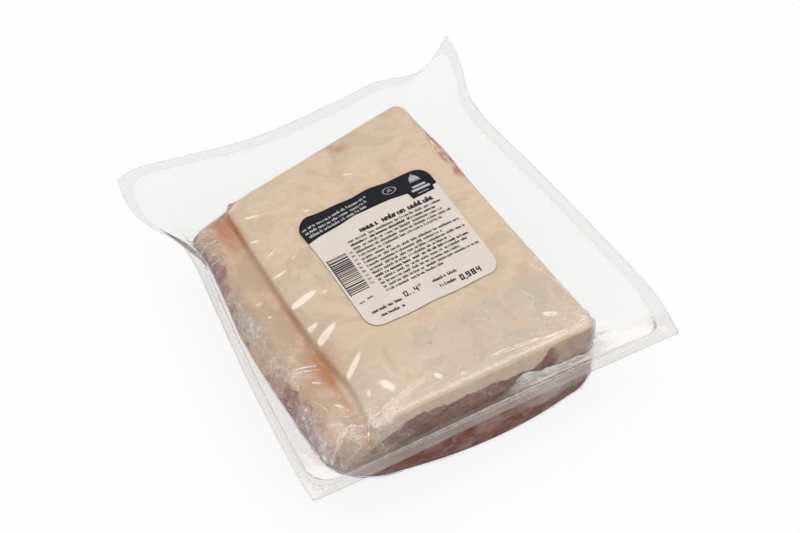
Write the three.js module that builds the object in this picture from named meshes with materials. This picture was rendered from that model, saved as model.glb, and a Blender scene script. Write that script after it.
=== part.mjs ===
// A piece of pork loin, vacuum packed between two clear films, with a paper label on top.
// Millimetres, +Z up. X runs along the front edge of the film, Y from front to back.
// The origin is on the table, under the middle of the film's outline.

import * as THREE from 'three';

// ---------------------------------------------------------------- driving dimensions

// The sheet of two films sealed together round the loin, about 200 by 225 before the
// vacuum draws its sides in. A corner is [x, y, height].
const SHEET_CORNERS = {
  frontLeft: [-95.6, -91.5, 29],
  frontRight: [102.2, -94.3, 29],
  backRight: [100.8, 130.6, 31],
  backLeft: [-94.4, 131.5, 21],
};
const SHEET_CORNER_RADIUS = 1.2;
const SEAL_WIDTH = 8;
const BORDER_THICKNESS = 0.6;
const BORDER_HEIGHT = 29;

// How the sheet's cut edge runs between two corners, counter-clockwise from above:
// [share of the side, drawn in by, height]. The corners stand out as ears.
const SHEET_EDGES = {
  front: [[0.1, -0.6, 29.4], [0.5, 0.4, 30], [0.9, 0.2, 29.4]],
  right: [[0.12, -3.2, 28.5], [0.3, -0.6, 27.5], [0.55, 3.6, 24.6], [0.74, 8.5, 23.6],
    [0.83, 8, 24.3], [0.9, 2.6, 26], [0.955, 0, 28.2]],
  back: [[0.03, 4.6, 28.8], [0.12, 11.9, 25], [0.24, 6, 23.3], [0.36, 8, 23.1],
    [0.62, 10.2, 24], [0.82, 3, 23], [0.94, -2, 21.8]],
  left: [[0.1, -3.1, 25.6], [0.17, -1, 28], [0.27, 8.3, 30.8], [0.34, 9.1, 32.4],
    [0.5, 5.6, 32.6], [0.7, 1.7, 31], [0.95, -0.8, 29.4]],
};

// The loin under the film: a slab with a lower strip along its left side.
const PACK_HEIGHT = 48;
const SLAB_RIM_HEIGHT = 47;
const SLAB_CORNER_RADIUS = 5;
const GROOVE_HEIGHT = 37.2;
const STRIP_HEIGHT = 40.5;
const STRIP_WIDTH = 22;
const SIDE_BOWS = [0.5, 0.5, 0.5, 2];
const SLAB = {
  frontLeft: [-58, -79],
  frontRight: [61.5, -79.5],
  backRight: [47, 87],
  backLeft: [-59.5, 68],
};

// The underside of the loin, where it rests.
const BASE_CORNER_RADII = [26, 13, 18, 24];
const BASE_BOWS = [5, 1, 1, 2];
const BASE = {
  frontLeft: [-64, -79],
  frontRight: [61, -82.5],
  backRight: [44, 74],
  backLeft: [-58, 58],
};

// The label.
const LABEL = {
  width: 73,
  length: 75,
  cornerRadius: 8,
  thickness: 0.4,
  gap: 0.35,
  centre: [2.4, 6],
  turned: 1.7,
};

// Middle of the film's outline, which becomes the origin.
const OUTLINE_MIDDLE = [3.8, 19.6];

// Samples round one corner and along one side of every ring.
const CORNER_STEPS = 8;
const SIDE_STEPS = 20;

// ---------------------------------------------------------------- small helpers

const mix = (a, b, t) => a + (b - a) * t;

// The same value for each of four sides or corners.
const onAll = (value) => [value, value, value, value];

const smooth = (t) => {
  const u = Math.min(Math.max(t, 0), 1);
  return u * u * (3 - 2 * u);
};

// A smooth line through rows of [place, value, value], read at any place.
function profile(rows, place) {
  const last = rows.length - 1;
  let i = 0;
  while (i < last - 1 && rows[i + 1][0] < place) i += 1;
  const span = rows[i + 1][0] - rows[i][0];
  const t = (place - rows[i][0]) / span;
  const slope = (k, column) => {
    const before = rows[Math.max(k - 1, 0)];
    const after = rows[Math.min(k + 1, last)];
    return (span * (after[column] - before[column])) / (after[0] - before[0]);
  };
  return [1, 2].map((column) => {
    const rise = (rows[i + 1][column] - rows[i][column]) * t * t * (3 - 2 * t);
    const leaving = slope(i, column) * t * (1 - t) * (1 - t);
    const arriving = slope(i + 1, column) * t * t * (1 - t);
    return rows[i][column] + rise + leaving - arriving;
  });
}

// ---------------------------------------------------------------- rings

// Four corners, counter-clockwise seen from above: front left, front right, back right, back left.
// Sides are numbered the same way: 0 front, 1 right, 2 back, 3 left.
const cornersOf = (quad) => [quad.frontLeft, quad.frontRight, quad.backRight, quad.backLeft];

// Moves each side of a quad outwards, given as [front, right, back, left].
function grow(quad, [front, right, back, left]) {
  const [fl, fr, br, bl] = cornersOf(quad);
  return {
    frontLeft: [fl[0] - left, fl[1] - front],
    frontRight: [fr[0] + right, fr[1] - front],
    backRight: [br[0] + right, br[1] + back],
    backLeft: [bl[0] - left, bl[1] + back],
  };
}

// Walks round a quad with four corner radii and sides that bow out. Each sample tells where
// it is, the outward direction, the side it lies on and how far along that side, and how
// much it belongs to the side before.
function walk(quad, radii, bows) {
  const corners = cornersOf(quad).map(([x, y]) => new THREE.Vector2(x, y));
  const along = corners.map((c, i) => corners[(i + 1) % 4].clone().sub(c).normalize());
  const samples = [];
  for (let side = 0; side < 4; side += 1) {
    const corner = corners[side];
    const next = corners[(side + 1) % 4];
    const dir = along[side];
    const before = along[(side + 3) % 4];
    const length = corner.distanceTo(next);
    const radius = radii[side];
    const nextRadius = radii[(side + 1) % 4];
    const centre = corner.clone().addScaledVector(dir, radius).addScaledVector(before, -radius);
    const startAngle = Math.atan2(-before.x, before.y);
    const turn = Math.acos(THREE.MathUtils.clamp(before.dot(dir), -1, 1));
    for (let step = 0; step <= CORNER_STEPS; step += 1) {
      const angle = startAngle + (turn * step) / CORNER_STEPS;
      const out = new THREE.Vector2(Math.cos(angle), Math.sin(angle));
      const point = centre.clone().addScaledVector(out, radius);
      const previous = 1 - step / CORNER_STEPS;
      samples.push({ point, out, side, fraction: 0, previous });
    }
    const start = samples[samples.length - 1].point;
    const end = next.clone().addScaledVector(dir, -nextRadius);
    const out = new THREE.Vector2(dir.y, -dir.x);
    for (let step = 1; step < SIDE_STEPS; step += 1) {
      const even = step / SIDE_STEPS;
      const crowded = mix(even, 0.5 - 0.5 * Math.cos(Math.PI * even), 0.6);
      const point = start.clone().lerp(end, crowded);
      point.addScaledVector(out, bows[side] * 4 * crowded * (1 - crowded));
      const fraction = point.clone().sub(corner).dot(dir) / length;
      samples.push({ point, out, side, fraction, previous: 0 });
    }
  }
  return samples;
}

// Blends one value per side round the corners.
function perSide(values, sample) {
  const share = smooth(sample.previous);
  return mix(values[sample.side], values[(sample.side + 3) % 4], share);
}

// A ring of points round a quad, with a corner radius or four, and a height and a bow for
// each side.
function ring(quad, radius, heights, bows = onAll(0)) {
  const radii = Array.isArray(radius) ? radius : onAll(radius);
  return walk(quad, radii, bows).map((sample) => new THREE.Vector3(
    sample.point.x,
    sample.point.y,
    perSide(heights, sample),
  ));
}

// ---------------------------------------------------------------- the film's border

// The outer edge of the border.
function sheetEdge() {
  const heights = cornersOf(SHEET_CORNERS).map((corner) => corner[2]);
  const sides = Object.values(SHEET_EDGES).map((rows, side) => [
    [0, 0, heights[side]],
    ...rows,
    [1, 0, heights[(side + 1) % 4]],
  ]);
  return walk(SHEET_CORNERS, onAll(SHEET_CORNER_RADIUS), onAll(0)).map((sample) => {
    const [inward, height] = profile(sides[sample.side], sample.fraction);
    const point = sample.point.clone().addScaledVector(sample.out, -inward);
    return new THREE.Vector3(point.x, point.y, height);
  });
}

// A ring between the foot of the film's border and its outer edge.
function borderRing(foot, edge, reach) {
  return foot.map((point, i) => {
    const wide = Math.hypot(edge[i].x - point.x, edge[i].y - point.y);
    const share = reach(wide);
    const level = point.clone().lerp(edge[i], share);
    level.z = mix(point.z, edge[i].z, smooth(share) * share);
    return level;
  });
}

const lowered = (points, drop) => points.map((p) => new THREE.Vector3(p.x, p.y, p.z - drop));

// ---------------------------------------------------------------- the loin

// Gentle waves in the fat on top of the slab, fading out towards its rim.
function topHeight(x, y) {
  const waves = 0.35 * Math.sin(x / 17 + 0.6) * Math.cos(y / 23) + 0.25 * Math.sin(y / 13 + x / 31);
  const reach = Math.max(Math.abs(x) / 62, Math.abs(y - 2) / 84);
  const crown = PACK_HEIGHT - 0.5 - 0.5 * reach * reach;
  return crown + waves * (1 - smooth((reach - 0.55) / 0.4));
}

// Rings on top of the slab, from near the middle out to its rim.
function plateau() {
  const rim = ring(SLAB, SLAB_CORNER_RADIUS, onAll(SLAB_RIM_HEIGHT));
  const rings = [0.2, 0.4, 0.6, 0.78, 0.92].map((share) => rim.map(({ x, y }) => {
    const inner = new THREE.Vector3(x * share, y * share, 0);
    inner.z = mix(topHeight(inner.x, inner.y), SLAB_RIM_HEIGHT, smooth((share - 0.6) / 0.4));
    return inner;
  }));
  return [...rings, rim];
}

// Rings down the sides above the border. On the left they cross the groove and the strip.
function upperSides() {
  const strip = STRIP_WIDTH;
  const side = (out, left, radius, heights) => {
    const bows = SIDE_BOWS.map((bow) => (bow * left) / (1.12 * strip));
    return ring(grow(SLAB, [out, out, out, left]), radius, heights, bows);
  };
  return [
    side(1.6, 1.4, 6, [45, 45.2, 45.2, 43.5]),
    side(2.6, 3, 7.5, [41.6, 41.6, 41.6, GROOVE_HEIGHT]),
    side(3.2, 8, 9, [38.8, 38.4, 38.4, STRIP_HEIGHT - 0.8]),
    side(3.8, 0.64 * strip, 10.5, [35.6, 35, 35, STRIP_HEIGHT]),
    side(4.4, 0.92 * strip, 12, [32.6, 32.2, 32.2, 36]),
  ];
}

// Where the border leaves the loin.
function borderFoot() {
  const quad = grow(SLAB, [5, 5, 6.5, 1.12 * STRIP_WIDTH]);
  const heights = [BORDER_HEIGHT, BORDER_HEIGHT + 0.6, BORDER_HEIGHT, BORDER_HEIGHT + 1];
  return ring(quad, 13, heights, SIDE_BOWS);
}

// Rings down the sides below the border, onto the flat base.
function lowerSides(foot) {
  const rest = ring(BASE, BASE_CORNER_RADII, onAll(0), BASE_BOWS);
  const levels = [
    { height: 22, out: 0.86, bulge: 1 },
    { height: 14.5, out: 0.62, bulge: 2.6 },
    { height: 7.5, out: 0.36, bulge: 3.6 },
    { height: 2.6, out: 0.16, bulge: 3 },
    { height: 0.6, out: 0.05, bulge: 1.4 },
  ];
  const sides = levels.map(({ height, out, bulge }) => rest.map((point, i) => {
    const level = point.clone().lerp(foot[i], out);
    const away = new THREE.Vector2(point.x, point.y).normalize();
    level.x += away.x * bulge;
    level.y += away.y * bulge;
    level.z = height;
    return level;
  }));
  const base = [1, 0.66, 0.33].map((share) => rest.map(({ x, y }) => (
    new THREE.Vector3(x * share, y * share, 0)
  )));
  return [...sides, ...base];
}

// ---------------------------------------------------------------- closed bodies from rings

// Joins rings of equal count into one closed body, with a centre point at each end.
function loft(rings, firstCentre, lastCentre) {
  const count = rings[0].length;
  const points = [firstCentre, ...rings.flat(), lastCentre];
  const last = points.length - 1;
  const at = (level, i) => 1 + level * count + (i % count);
  const faces = [];
  for (let i = 0; i < count; i += 1) {
    faces.push([0, at(0, i), at(0, i + 1)]);
    for (let level = 0; level + 1 < rings.length; level += 1) {
      faces.push([at(level, i), at(level + 1, i), at(level + 1, i + 1)]);
      faces.push([at(level, i), at(level + 1, i + 1), at(level, i + 1)]);
    }
    faces.push([last, at(rings.length - 1, i + 1), at(rings.length - 1, i)]);
  }
  const geometry = new THREE.BufferGeometry();
  geometry.setAttribute('position', new THREE.Float32BufferAttribute(
    points.flatMap((p) => [p.x - OUTLINE_MIDDLE[0], p.y - OUTLINE_MIDDLE[1], p.z]),
    3,
  ));
  geometry.setIndex(faces.flat());
  geometry.computeVertexNormals();
  return geometry;
}

// ---------------------------------------------------------------- sub-parts

function sealedPack() {
  const foot = borderFoot();
  const edge = sheetEdge();
  const reaches = [
    () => 0.22,
    () => 0.5,
    (wide) => Math.max(0.55, 1 - SEAL_WIDTH / wide),
    (wide) => Math.max(0.8, 1 - (0.35 * SEAL_WIDTH) / wide),
  ];
  const border = [foot, ...reaches.map((reach) => borderRing(foot, edge, reach)), edge];
  const underside = border.map((level) => lowered(level, BORDER_THICKNESS)).reverse();
  const rings = [...plateau(), ...upperSides(), ...border, ...underside, ...lowerSides(foot)];
  const top = new THREE.Vector3(0, 0, topHeight(0, 0));
  const bottom = new THREE.Vector3(0, 0, 0);
  const material = new THREE.MeshStandardMaterial({
    color: 0xd5bba4,
    roughness: 0.22,
    metalness: 0,
  });
  const mesh = new THREE.Mesh(loft(rings, top, bottom), material);
  mesh.name = 'sealed_pack';
  return mesh;
}

function label() {
  const { width, length, cornerRadius, thickness, gap, centre, turned } = LABEL;
  const [cx, cy] = centre;
  const turn = THREE.MathUtils.degToRad(turned);
  const corner = (right, back) => [
    cx + 0.5 * (right * width * Math.cos(turn) - back * length * Math.sin(turn)),
    cy + 0.5 * (right * width * Math.sin(turn) + back * length * Math.cos(turn)),
  ];
  const outline = {
    frontLeft: corner(-1, -1),
    frontRight: corner(1, -1),
    backRight: corner(1, 1),
    backLeft: corner(-1, 1),
  };
  const flat = ring(outline, cornerRadius, onAll(0));
  const level = (share, lift) => flat.map(({ x, y }) => {
    const px = mix(cx, x, share);
    const py = mix(cy, y, share);
    return new THREE.Vector3(px, py, topHeight(px, py) + lift);
  });
  const shares = [0.25, 0.5, 0.75, 1];
  const upper = shares.map((share) => level(share, gap + thickness));
  const lower = shares.map((share) => level(share, gap)).reverse();
  const top = new THREE.Vector3(cx, cy, topHeight(cx, cy) + gap + thickness);
  const bottom = new THREE.Vector3(cx, cy, topHeight(cx, cy) + gap);
  const material = new THREE.MeshStandardMaterial({
    color: 0xe1d7cd,
    roughness: 0.55,
    metalness: 0,
  });
  const mesh = new THREE.Mesh(loft([...upper, ...lower], top, bottom), material);
  mesh.name = 'label';
  return mesh;
}

// ---------------------------------------------------------------- the pack

const pack = new THREE.Group();
pack.add(sealedPack(), label());

export default pack;
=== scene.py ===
"""Builds the look of a vacuum-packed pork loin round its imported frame.

A slab of pork loin, fat side up, lies between two clear films that are sealed together in a
flat eared border. A paper label sits on top. Shapes are worked out in millimetres in the
packer's own drawing coordinates and handed to Blender in metres, in the frame of the part.
"""

import math
import random

import bpy
import numpy as np
from mathutils import Matrix


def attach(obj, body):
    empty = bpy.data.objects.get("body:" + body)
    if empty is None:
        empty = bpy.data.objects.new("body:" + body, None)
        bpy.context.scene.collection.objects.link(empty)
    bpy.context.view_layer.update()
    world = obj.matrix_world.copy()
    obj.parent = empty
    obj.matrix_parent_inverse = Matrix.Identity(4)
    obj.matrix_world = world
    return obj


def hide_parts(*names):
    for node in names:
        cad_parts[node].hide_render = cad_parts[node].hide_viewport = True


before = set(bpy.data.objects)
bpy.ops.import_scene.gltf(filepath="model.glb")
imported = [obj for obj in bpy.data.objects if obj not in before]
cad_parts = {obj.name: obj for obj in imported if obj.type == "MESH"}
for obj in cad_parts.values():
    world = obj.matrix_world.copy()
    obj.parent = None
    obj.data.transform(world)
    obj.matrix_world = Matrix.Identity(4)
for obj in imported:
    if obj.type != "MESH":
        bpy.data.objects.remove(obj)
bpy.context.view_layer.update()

bl_info = {
    "name": "Vacuum-packed pork loin",
    "version": (1, 0, 0),
    "blender": (4, 5, 0),
    "location": "View3D > Sidebar > Loin Pack",
    "description": "Builds the loin, its two films, its label and a plain stage",
    "category": "Object",
}

# ------------------------------------------------------------------ the drawing, in millimetres

# The sheet of two films sealed together round the loin: front left, front right, back right
# and back left corners, each [x, y, height].
SHEET_CORNERS = [[-95.6, -91.5, 29], [102.2, -94.3, 29], [100.8, 130.6, 31], [-94.4, 131.5, 21]]
SHEET_CORNER_RADIUS = 1.2

# How the cut edge runs along each side: [share of the side, drawn in by, height].
SHEET_EDGES = [
    [[0.1, -0.6, 29.4], [0.5, 0.4, 30], [0.9, 0.2, 29.4]],
    [[0.12, -3.2, 28.5], [0.3, -0.6, 27.5], [0.55, 3.6, 24.6], [0.74, 8.5, 23.6],
     [0.83, 8, 24.3], [0.9, 2.6, 26], [0.955, 0, 28.2]],
    [[0.03, 4.6, 28.8], [0.12, 11.9, 25], [0.24, 6, 23.3], [0.36, 8, 23.1],
     [0.62, 10.2, 24], [0.82, 3, 23], [0.94, -2, 21.8]],
    [[0.1, -3.1, 25.6], [0.17, -1, 28], [0.27, 8.3, 30.8], [0.34, 9.1, 32.4],
     [0.5, 5.6, 32.6], [0.7, 1.7, 31], [0.95, -0.8, 29.4]],
]

# The inner line of the seal, drawn in from each side of the sheet, with rounder corners.
SEAL_DRAWN_IN = [6.4, 7.5, 8, 4.6]
SEAL_CORNER_RADII = [10.5, 5, 6, 9]

# The loin under the film: a slab with a lower strip along its left side.
PACK_HEIGHT = 48
RIM_HEIGHT = 47
BORDER_HEIGHT = 29
GROOVE_HEIGHT = 39.9
STRIP_HEIGHT = 40.8
STRIP_WIDTH = 22
SIDE_BOWS = [0.5, 0.5, 0.5, 2]
SLAB = [[-58, -79], [61.5, -79.5], [47, 87], [-59.5, 68]]
BASE = [[-64, -79], [61, -82.5], [44, 74], [-58, 58]]
BASE_CORNER_RADII = [26, 13, 18, 24]
BASE_BOWS = [5, 1, 1, 2]

# The middle of the film's outline, which is the origin of the frame.
OUTLINE_MIDDLE = np.array([3.8, 19.6, 0.0])

# Where the fat ends on each side of the loin: [share of the side, level]. Level 1 is the
# slab's rim and level 2 the foot of the film's border.
FAT_ENDS = [
    [[0, 1.97], [0.05, 1.9], [0.09, 1.6], [0.13, 1.4], [0.2, 1.35], [0.28, 1.4],
     [0.42, 1.44], [0.55, 1.49], [0.64, 1.48], [0.73, 1.54], [0.78, 1.2], [0.84, 1.16],
     [0.92, 1.1], [1, 1.12]],
    [[0, 1.17], [0.06, 1.3], [0.3, 1.5], [0.5, 1.4], [0.62, 1.2], [0.86, 1.2], [0.93, 1.3],
     [1, 1.45]],
    [[0, 1.45], [0.5, 1.5], [0.8, 1.52], [1, 1.75]],
    [[0, 1.97], [0.07, 1.95], [0.13, 1.83], [0.21, 1.87], [0.34, 1.94], [0.56, 1.95],
     [0.68, 1.9], [0.78, 1.82], [0.9, 1.79], [0.97, 1.86], [1, 1.97]],
]

# How many places a ring has round each corner and along each side.
CORNER_STEPS = 24
SIDE_STEPS = 86

# A millimetre in metres, the unit of the frame.
MILLIMETRE = 0.001


def axes(places):
    """The x, y and z of many places."""
    return places[..., 0], places[..., 1], places[..., 2]


def mix(a, b, share):
    return a + (b - a) * share


def spans(*stretches):
    """Even steps through stretches [from, to, how many], with each joint taken once."""
    parts = [np.linspace(*stretch) for stretch in stretches]
    return np.concatenate([part[:-1] for part in parts[:-1]] + parts[-1:])


def smooth(t):
    t = np.clip(t, 0, 1)
    return t * t * (3 - 2 * t)


def bell(distance, width):
    """A smooth bump of height 1 that is gone at about twice its width."""
    return np.exp(-((distance / width) ** 2))


# ------------------------------------------------------------------ even random patterns


def lattice(ix, iy, seed):
    """A repeatable random value from 0 to 1 for each whole-numbered place."""
    n = (ix.astype(np.int64) * 374761393 + iy.astype(np.int64) * 668265263 + seed * 974634777)
    n = n & 0xFFFFFFFF
    n = ((n ^ (n >> 13)) * 1274126177) & 0xFFFFFFFF
    n = ((n ^ (n >> 16)) * 2246822519) & 0xFFFFFFFF
    return (n ^ (n >> 15)) / 4294967295.0


def cloud(x, y, size, seed):
    """Soft random hills from 0 to 1, about size across."""
    x = np.asarray(x) / size
    y = np.asarray(y) / size
    ix, iy = np.floor(x), np.floor(y)
    fx, fy = x - ix, y - iy
    fx = fx * fx * fx * (fx * (fx * 6 - 15) + 10)
    fy = fy * fy * fy * (fy * (fy * 6 - 15) + 10)
    low = mix(lattice(ix, iy, seed), lattice(ix + 1, iy, seed), fx)
    high = mix(lattice(ix, iy + 1, seed), lattice(ix + 1, iy + 1, seed), fx)
    return mix(low, high, fy)


def hills(place, size, seed):
    """Soft random hills along one direction."""
    return cloud(place, place * 0, size, seed)


def ridges(x, y, size, seed, sharpness=3.0):
    """Random narrow ridges from 0 to 1, about size apart."""
    value = 0.65 * cloud(x, y, size, seed) + 0.35 * cloud(x, y, size * 0.46, seed + 7)
    return np.clip(1 - np.abs(2 * value - 1) * sharpness, 0, 1) ** 1.5


# ------------------------------------------------------------------ rings


def grow(quad, front, right, back, left):
    """Moves each side of a quad outwards."""
    fl, fr, br, bl = quad
    return [
        [fl[0] - left, fl[1] - front],
        [fr[0] + right, fr[1] - front],
        [br[0] + right, br[1] + back],
        [bl[0] - left, bl[1] + back],
    ]


class Walk:
    """Places round a quad with rounded corners and bowed sides, counter-clockwise from above."""

    def __init__(self, quad, radii, bows=(0, 0, 0, 0), sheet=False):
        corners = np.array([corner[:2] for corner in quad], float)
        ahead = np.roll(corners, -1, axis=0) - corners
        lengths = np.linalg.norm(ahead, axis=1)
        along = ahead / lengths[:, None]
        before = np.roll(along, 1, axis=0)
        centres = corners + (along - before) * np.array(radii, float)[:, None]
        points, outs, sides, fractions, previous, ends = [], [], [], [], [], []
        for side in range(4):
            direction, following, radius = along[side], (side + 1) % 4, radii[side]
            start_angle = math.atan2(-before[side][0], before[side][1])
            turn = math.acos(min(1.0, max(-1.0, float(before[side] @ direction))))
            steps = np.arange(CORNER_STEPS + 1) / CORNER_STEPS
            angles = start_angle + turn * steps
            out = np.stack([np.cos(angles), np.sin(angles)], 1)
            arc = centres[side] + out * radius
            points.append(arc)
            outs.append(out)
            fractions.append(np.full(len(steps), radius / lengths[side]))
            ends.append(np.full(len(steps), 1 - radius / lengths[side - 1]))
            previous.append(1 - steps)
            normal = np.array([direction[1], -direction[0]])
            start, end = arc[-1], centres[following] + normal * radii[following]
            even = np.arange(1, SIDE_STEPS) / SIDE_STEPS
            crowded = mix(even, 0.5 - 0.5 * np.cos(np.pi * even), 0.6)
            if sheet and side == 3:
                # The sheet reaches far back past the loin, so its places hurry forwards.
                crowded = 0.73 * crowded + 0.27 * smooth(crowded / 0.2)
            line = mix(start, end, crowded[:, None])
            line = line + normal * (bows[side] * 4 * crowded * (1 - crowded))[:, None]
            points.append(line)
            outs.append(np.tile(normal, (len(line), 1)))
            fractions.append(((line - corners[side]) @ direction) / lengths[side])
            previous.append(np.zeros(len(line)))
            ends.append(np.zeros(len(line)))
            sides.append(np.full(len(arc) + len(line), side))
        self.point = np.concatenate(points)
        self.out = np.concatenate(outs)
        self.side = np.concatenate(sides)
        self.fraction = np.concatenate(fractions)
        self.previous = np.concatenate(previous)
        self.end_before = np.concatenate(ends)

    def per_side(self, values):
        """One value per side, blended round the corners."""
        values = np.array(values, float)
        share = smooth(self.previous)
        return mix(values[self.side], values[(self.side + 3) % 4], share)

    def along_sides(self, rows_per_side):
        """Smooth lines through rows of [share, value, ...] for each side, blended at corners."""
        width = len(rows_per_side[0][0]) - 1
        read = np.zeros((len(self.side), width))
        for side in range(4):
            on = self.side == side
            read[on] = through_rows(rows_per_side[side], self.fraction[on])
            turning = on & (self.previous > 0)
            before = through_rows(rows_per_side[side - 1], self.end_before[turning])
            read[turning] = mix(read[turning], before, smooth(self.previous[turning])[:, None])
        return read


def through_rows(rows, place):
    """A smooth cubic line through rows of [place, value, ...], read at many places."""
    rows = np.array(rows, float)
    knots, values = rows[:, 0], rows[:, 1:]
    last = len(knots) - 1
    i = np.clip(np.searchsorted(knots, place, side="left") - 1, 0, last - 1)
    span = knots[i + 1] - knots[i]
    t = ((place - knots[i]) / span)[:, None]

    def slope(k):
        before, after = np.maximum(k - 1, 0), np.minimum(k + 1, last)
        rise = values[after] - values[before]
        return rise * (span / (knots[after] - knots[before]))[:, None]

    line = values[i] + (values[i + 1] - values[i]) * t * t * (3 - 2 * t)
    return line + slope(i) * t * (1 - t) ** 2 - slope(i + 1) * t * t * (1 - t)


def ring(quad, radius, heights, bows=(0, 0, 0, 0)):
    radii = radius if isinstance(radius, list) else [radius] * 4
    walk = Walk(quad, radii, bows)
    return np.column_stack([walk.point, walk.per_side(heights)])


def through_rings(rings, places, wanted):
    """A smooth cubic surface through rings at rising places."""
    rings = np.array(rings)
    places = np.array(places, float)
    flat = rings.reshape(len(rings), -1)
    rows = np.column_stack([places, flat])
    return through_rows(rows, np.asarray(wanted, float)).reshape(len(wanted), -1, 3)


# ------------------------------------------------------------------ surfaces of the pack


def top_height(x, y):
    """Gentle waves in the fat on top of the slab, fading out towards its rim."""
    waves = 0.35 * np.sin(x / 17 + 0.6) * np.cos(y / 23) + 0.25 * np.sin(y / 13 + x / 31)
    reach = np.maximum(np.abs(x) / 62, np.abs(y - 2) / 84)
    crown = PACK_HEIGHT - 0.5 - 0.5 * reach * reach
    return crown + waves * (1 - smooth((reach - 0.55) / 0.4))


def bevel(x):
    """How far the slab's left shoulder slopes down at x."""
    past = np.maximum(-45 - x, 0)
    return 0.3 * past * past / (past + 2.5)


def plateau_ring(rim, share):
    x, y = rim[:, 0] * share, rim[:, 1] * share
    z = mix(top_height(x, y), RIM_HEIGHT, smooth((share - 0.6) / 0.4))
    return np.column_stack([x, y, z - bevel(x)])


def side_ring(out, left, radius, heights):
    bows = [bow * left / (1.12 * STRIP_WIDTH) for bow in SIDE_BOWS]
    return ring(grow(SLAB, out, out, out, left), radius, heights, bows)


def side_rings():
    """Rings down the loin's sides from the rim. On the left they cross groove and strip."""
    strip = STRIP_WIDTH
    rim = ring(SLAB, 5, [RIM_HEIGHT] * 4)
    rim[:, 2] -= bevel(rim[:, 0])
    return [
        rim,
        side_ring(1.6, 1.4, 6, [45, 45.2, 45.2, 42.4]),
        side_ring(2.6, 3, 7.5, [41.6, 41.6, 41.6, GROOVE_HEIGHT]),
        side_ring(3.2, 7.4, 9, [38.8, 38.4, 38.4, STRIP_HEIGHT - 0.4]),
        side_ring(3.8, 0.64 * strip, 10.5, [35.6, 35, 35, STRIP_HEIGHT]),
        side_ring(4.4, 0.92 * strip, 12, [32.6, 32.2, 32.2, 36.6]),
    ]


def sheet_edge():
    """The cut edge of the border."""
    walk = Walk(SHEET_CORNERS, [SHEET_CORNER_RADIUS] * 4, sheet=True)
    heights = [corner[2] for corner in SHEET_CORNERS]
    sides = [
        [[0, 0, heights[side]], *SHEET_EDGES[side], [1, 0, heights[(side + 1) % 4]]]
        for side in range(4)
    ]
    read = walk.along_sides(sides)
    return np.column_stack([walk.point - walk.out * read[:, :1], read[:, 1]])


def seal_line():
    """The inner line of the seal, parallel to the cut edge but with rounder corners."""
    front, right, back, left = SEAL_DRAWN_IN
    walk = Walk(grow(SHEET_CORNERS, -front, -right, -back, -left), SEAL_CORNER_RADII, sheet=True)
    sides = [[[0, 0], *[row[:2] for row in SHEET_EDGES[side]], [1, 0]] for side in range(4)]
    inward = walk.along_sides(sides)
    # By the back right ear the seal cuts across the dip in the edge.
    dip = (walk.side == 2) & (walk.fraction < 0.3)
    inward[dip, 0] *= mix(0.66, 1, smooth((walk.fraction[dip] - 0.12) / 0.18))
    return walk.point - walk.out * inward


def border_foot(seal):
    """Where the border leaves the loin, and how far it is drawn in to stay inside the seal."""
    quad = grow(SLAB, 5, 5, 6.5, 1.12 * STRIP_WIDTH)
    foot = ring(quad, 13, [BORDER_HEIGHT, BORDER_HEIGHT + 0.6, BORDER_HEIGHT, BORDER_HEIGHT + 1],
                SIDE_BOWS)
    out = Walk(quad, [13] * 4).out
    nearest = ((foot[:, None, :2] - seal[None]) ** 2).sum(2).argmin(1)
    room = ((seal[nearest] - foot[:, :2]) * out).sum(1)
    pull = np.maximum(0, 1.6 - room)
    ends = np.concatenate([pull[-8:], pull, pull[:8]])
    pull = np.convolve(ends, np.ones(17) / 17, mode="valid")
    foot[:, :2] -= out * pull[:, None]
    return foot, out * pull[:, None]


def columns_of(rings, levels, wanted):
    """Reads a surface given as dense rows at a level of its own for every column."""
    rows = np.interp(wanted, levels, np.arange(len(levels)))
    low = np.clip(np.floor(rows).astype(int), 0, len(levels) - 2)
    share = (rows - low)[..., None]
    column = np.broadcast_to(np.arange(rings.shape[1]), wanted.shape)
    return mix(rings[low, column], rings[low + 1, column], share)


def normals_of(rows):
    """Normals of a closed band of rows that run outwards from the middle."""
    across = np.roll(rows, -1, axis=1) - np.roll(rows, 1, axis=1)
    down = np.gradient(rows, axis=0)
    normal = np.cross(down, across)
    size = np.linalg.norm(normal, axis=2, keepdims=True)
    normal = normal / np.maximum(size, 1e-9)
    for pole, next_row in ((0, 1), (-1, -2)):
        if size[pole].max() < 1e-6:
            normal[pole] = normal[next_row].mean(0)
    return normal


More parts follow.
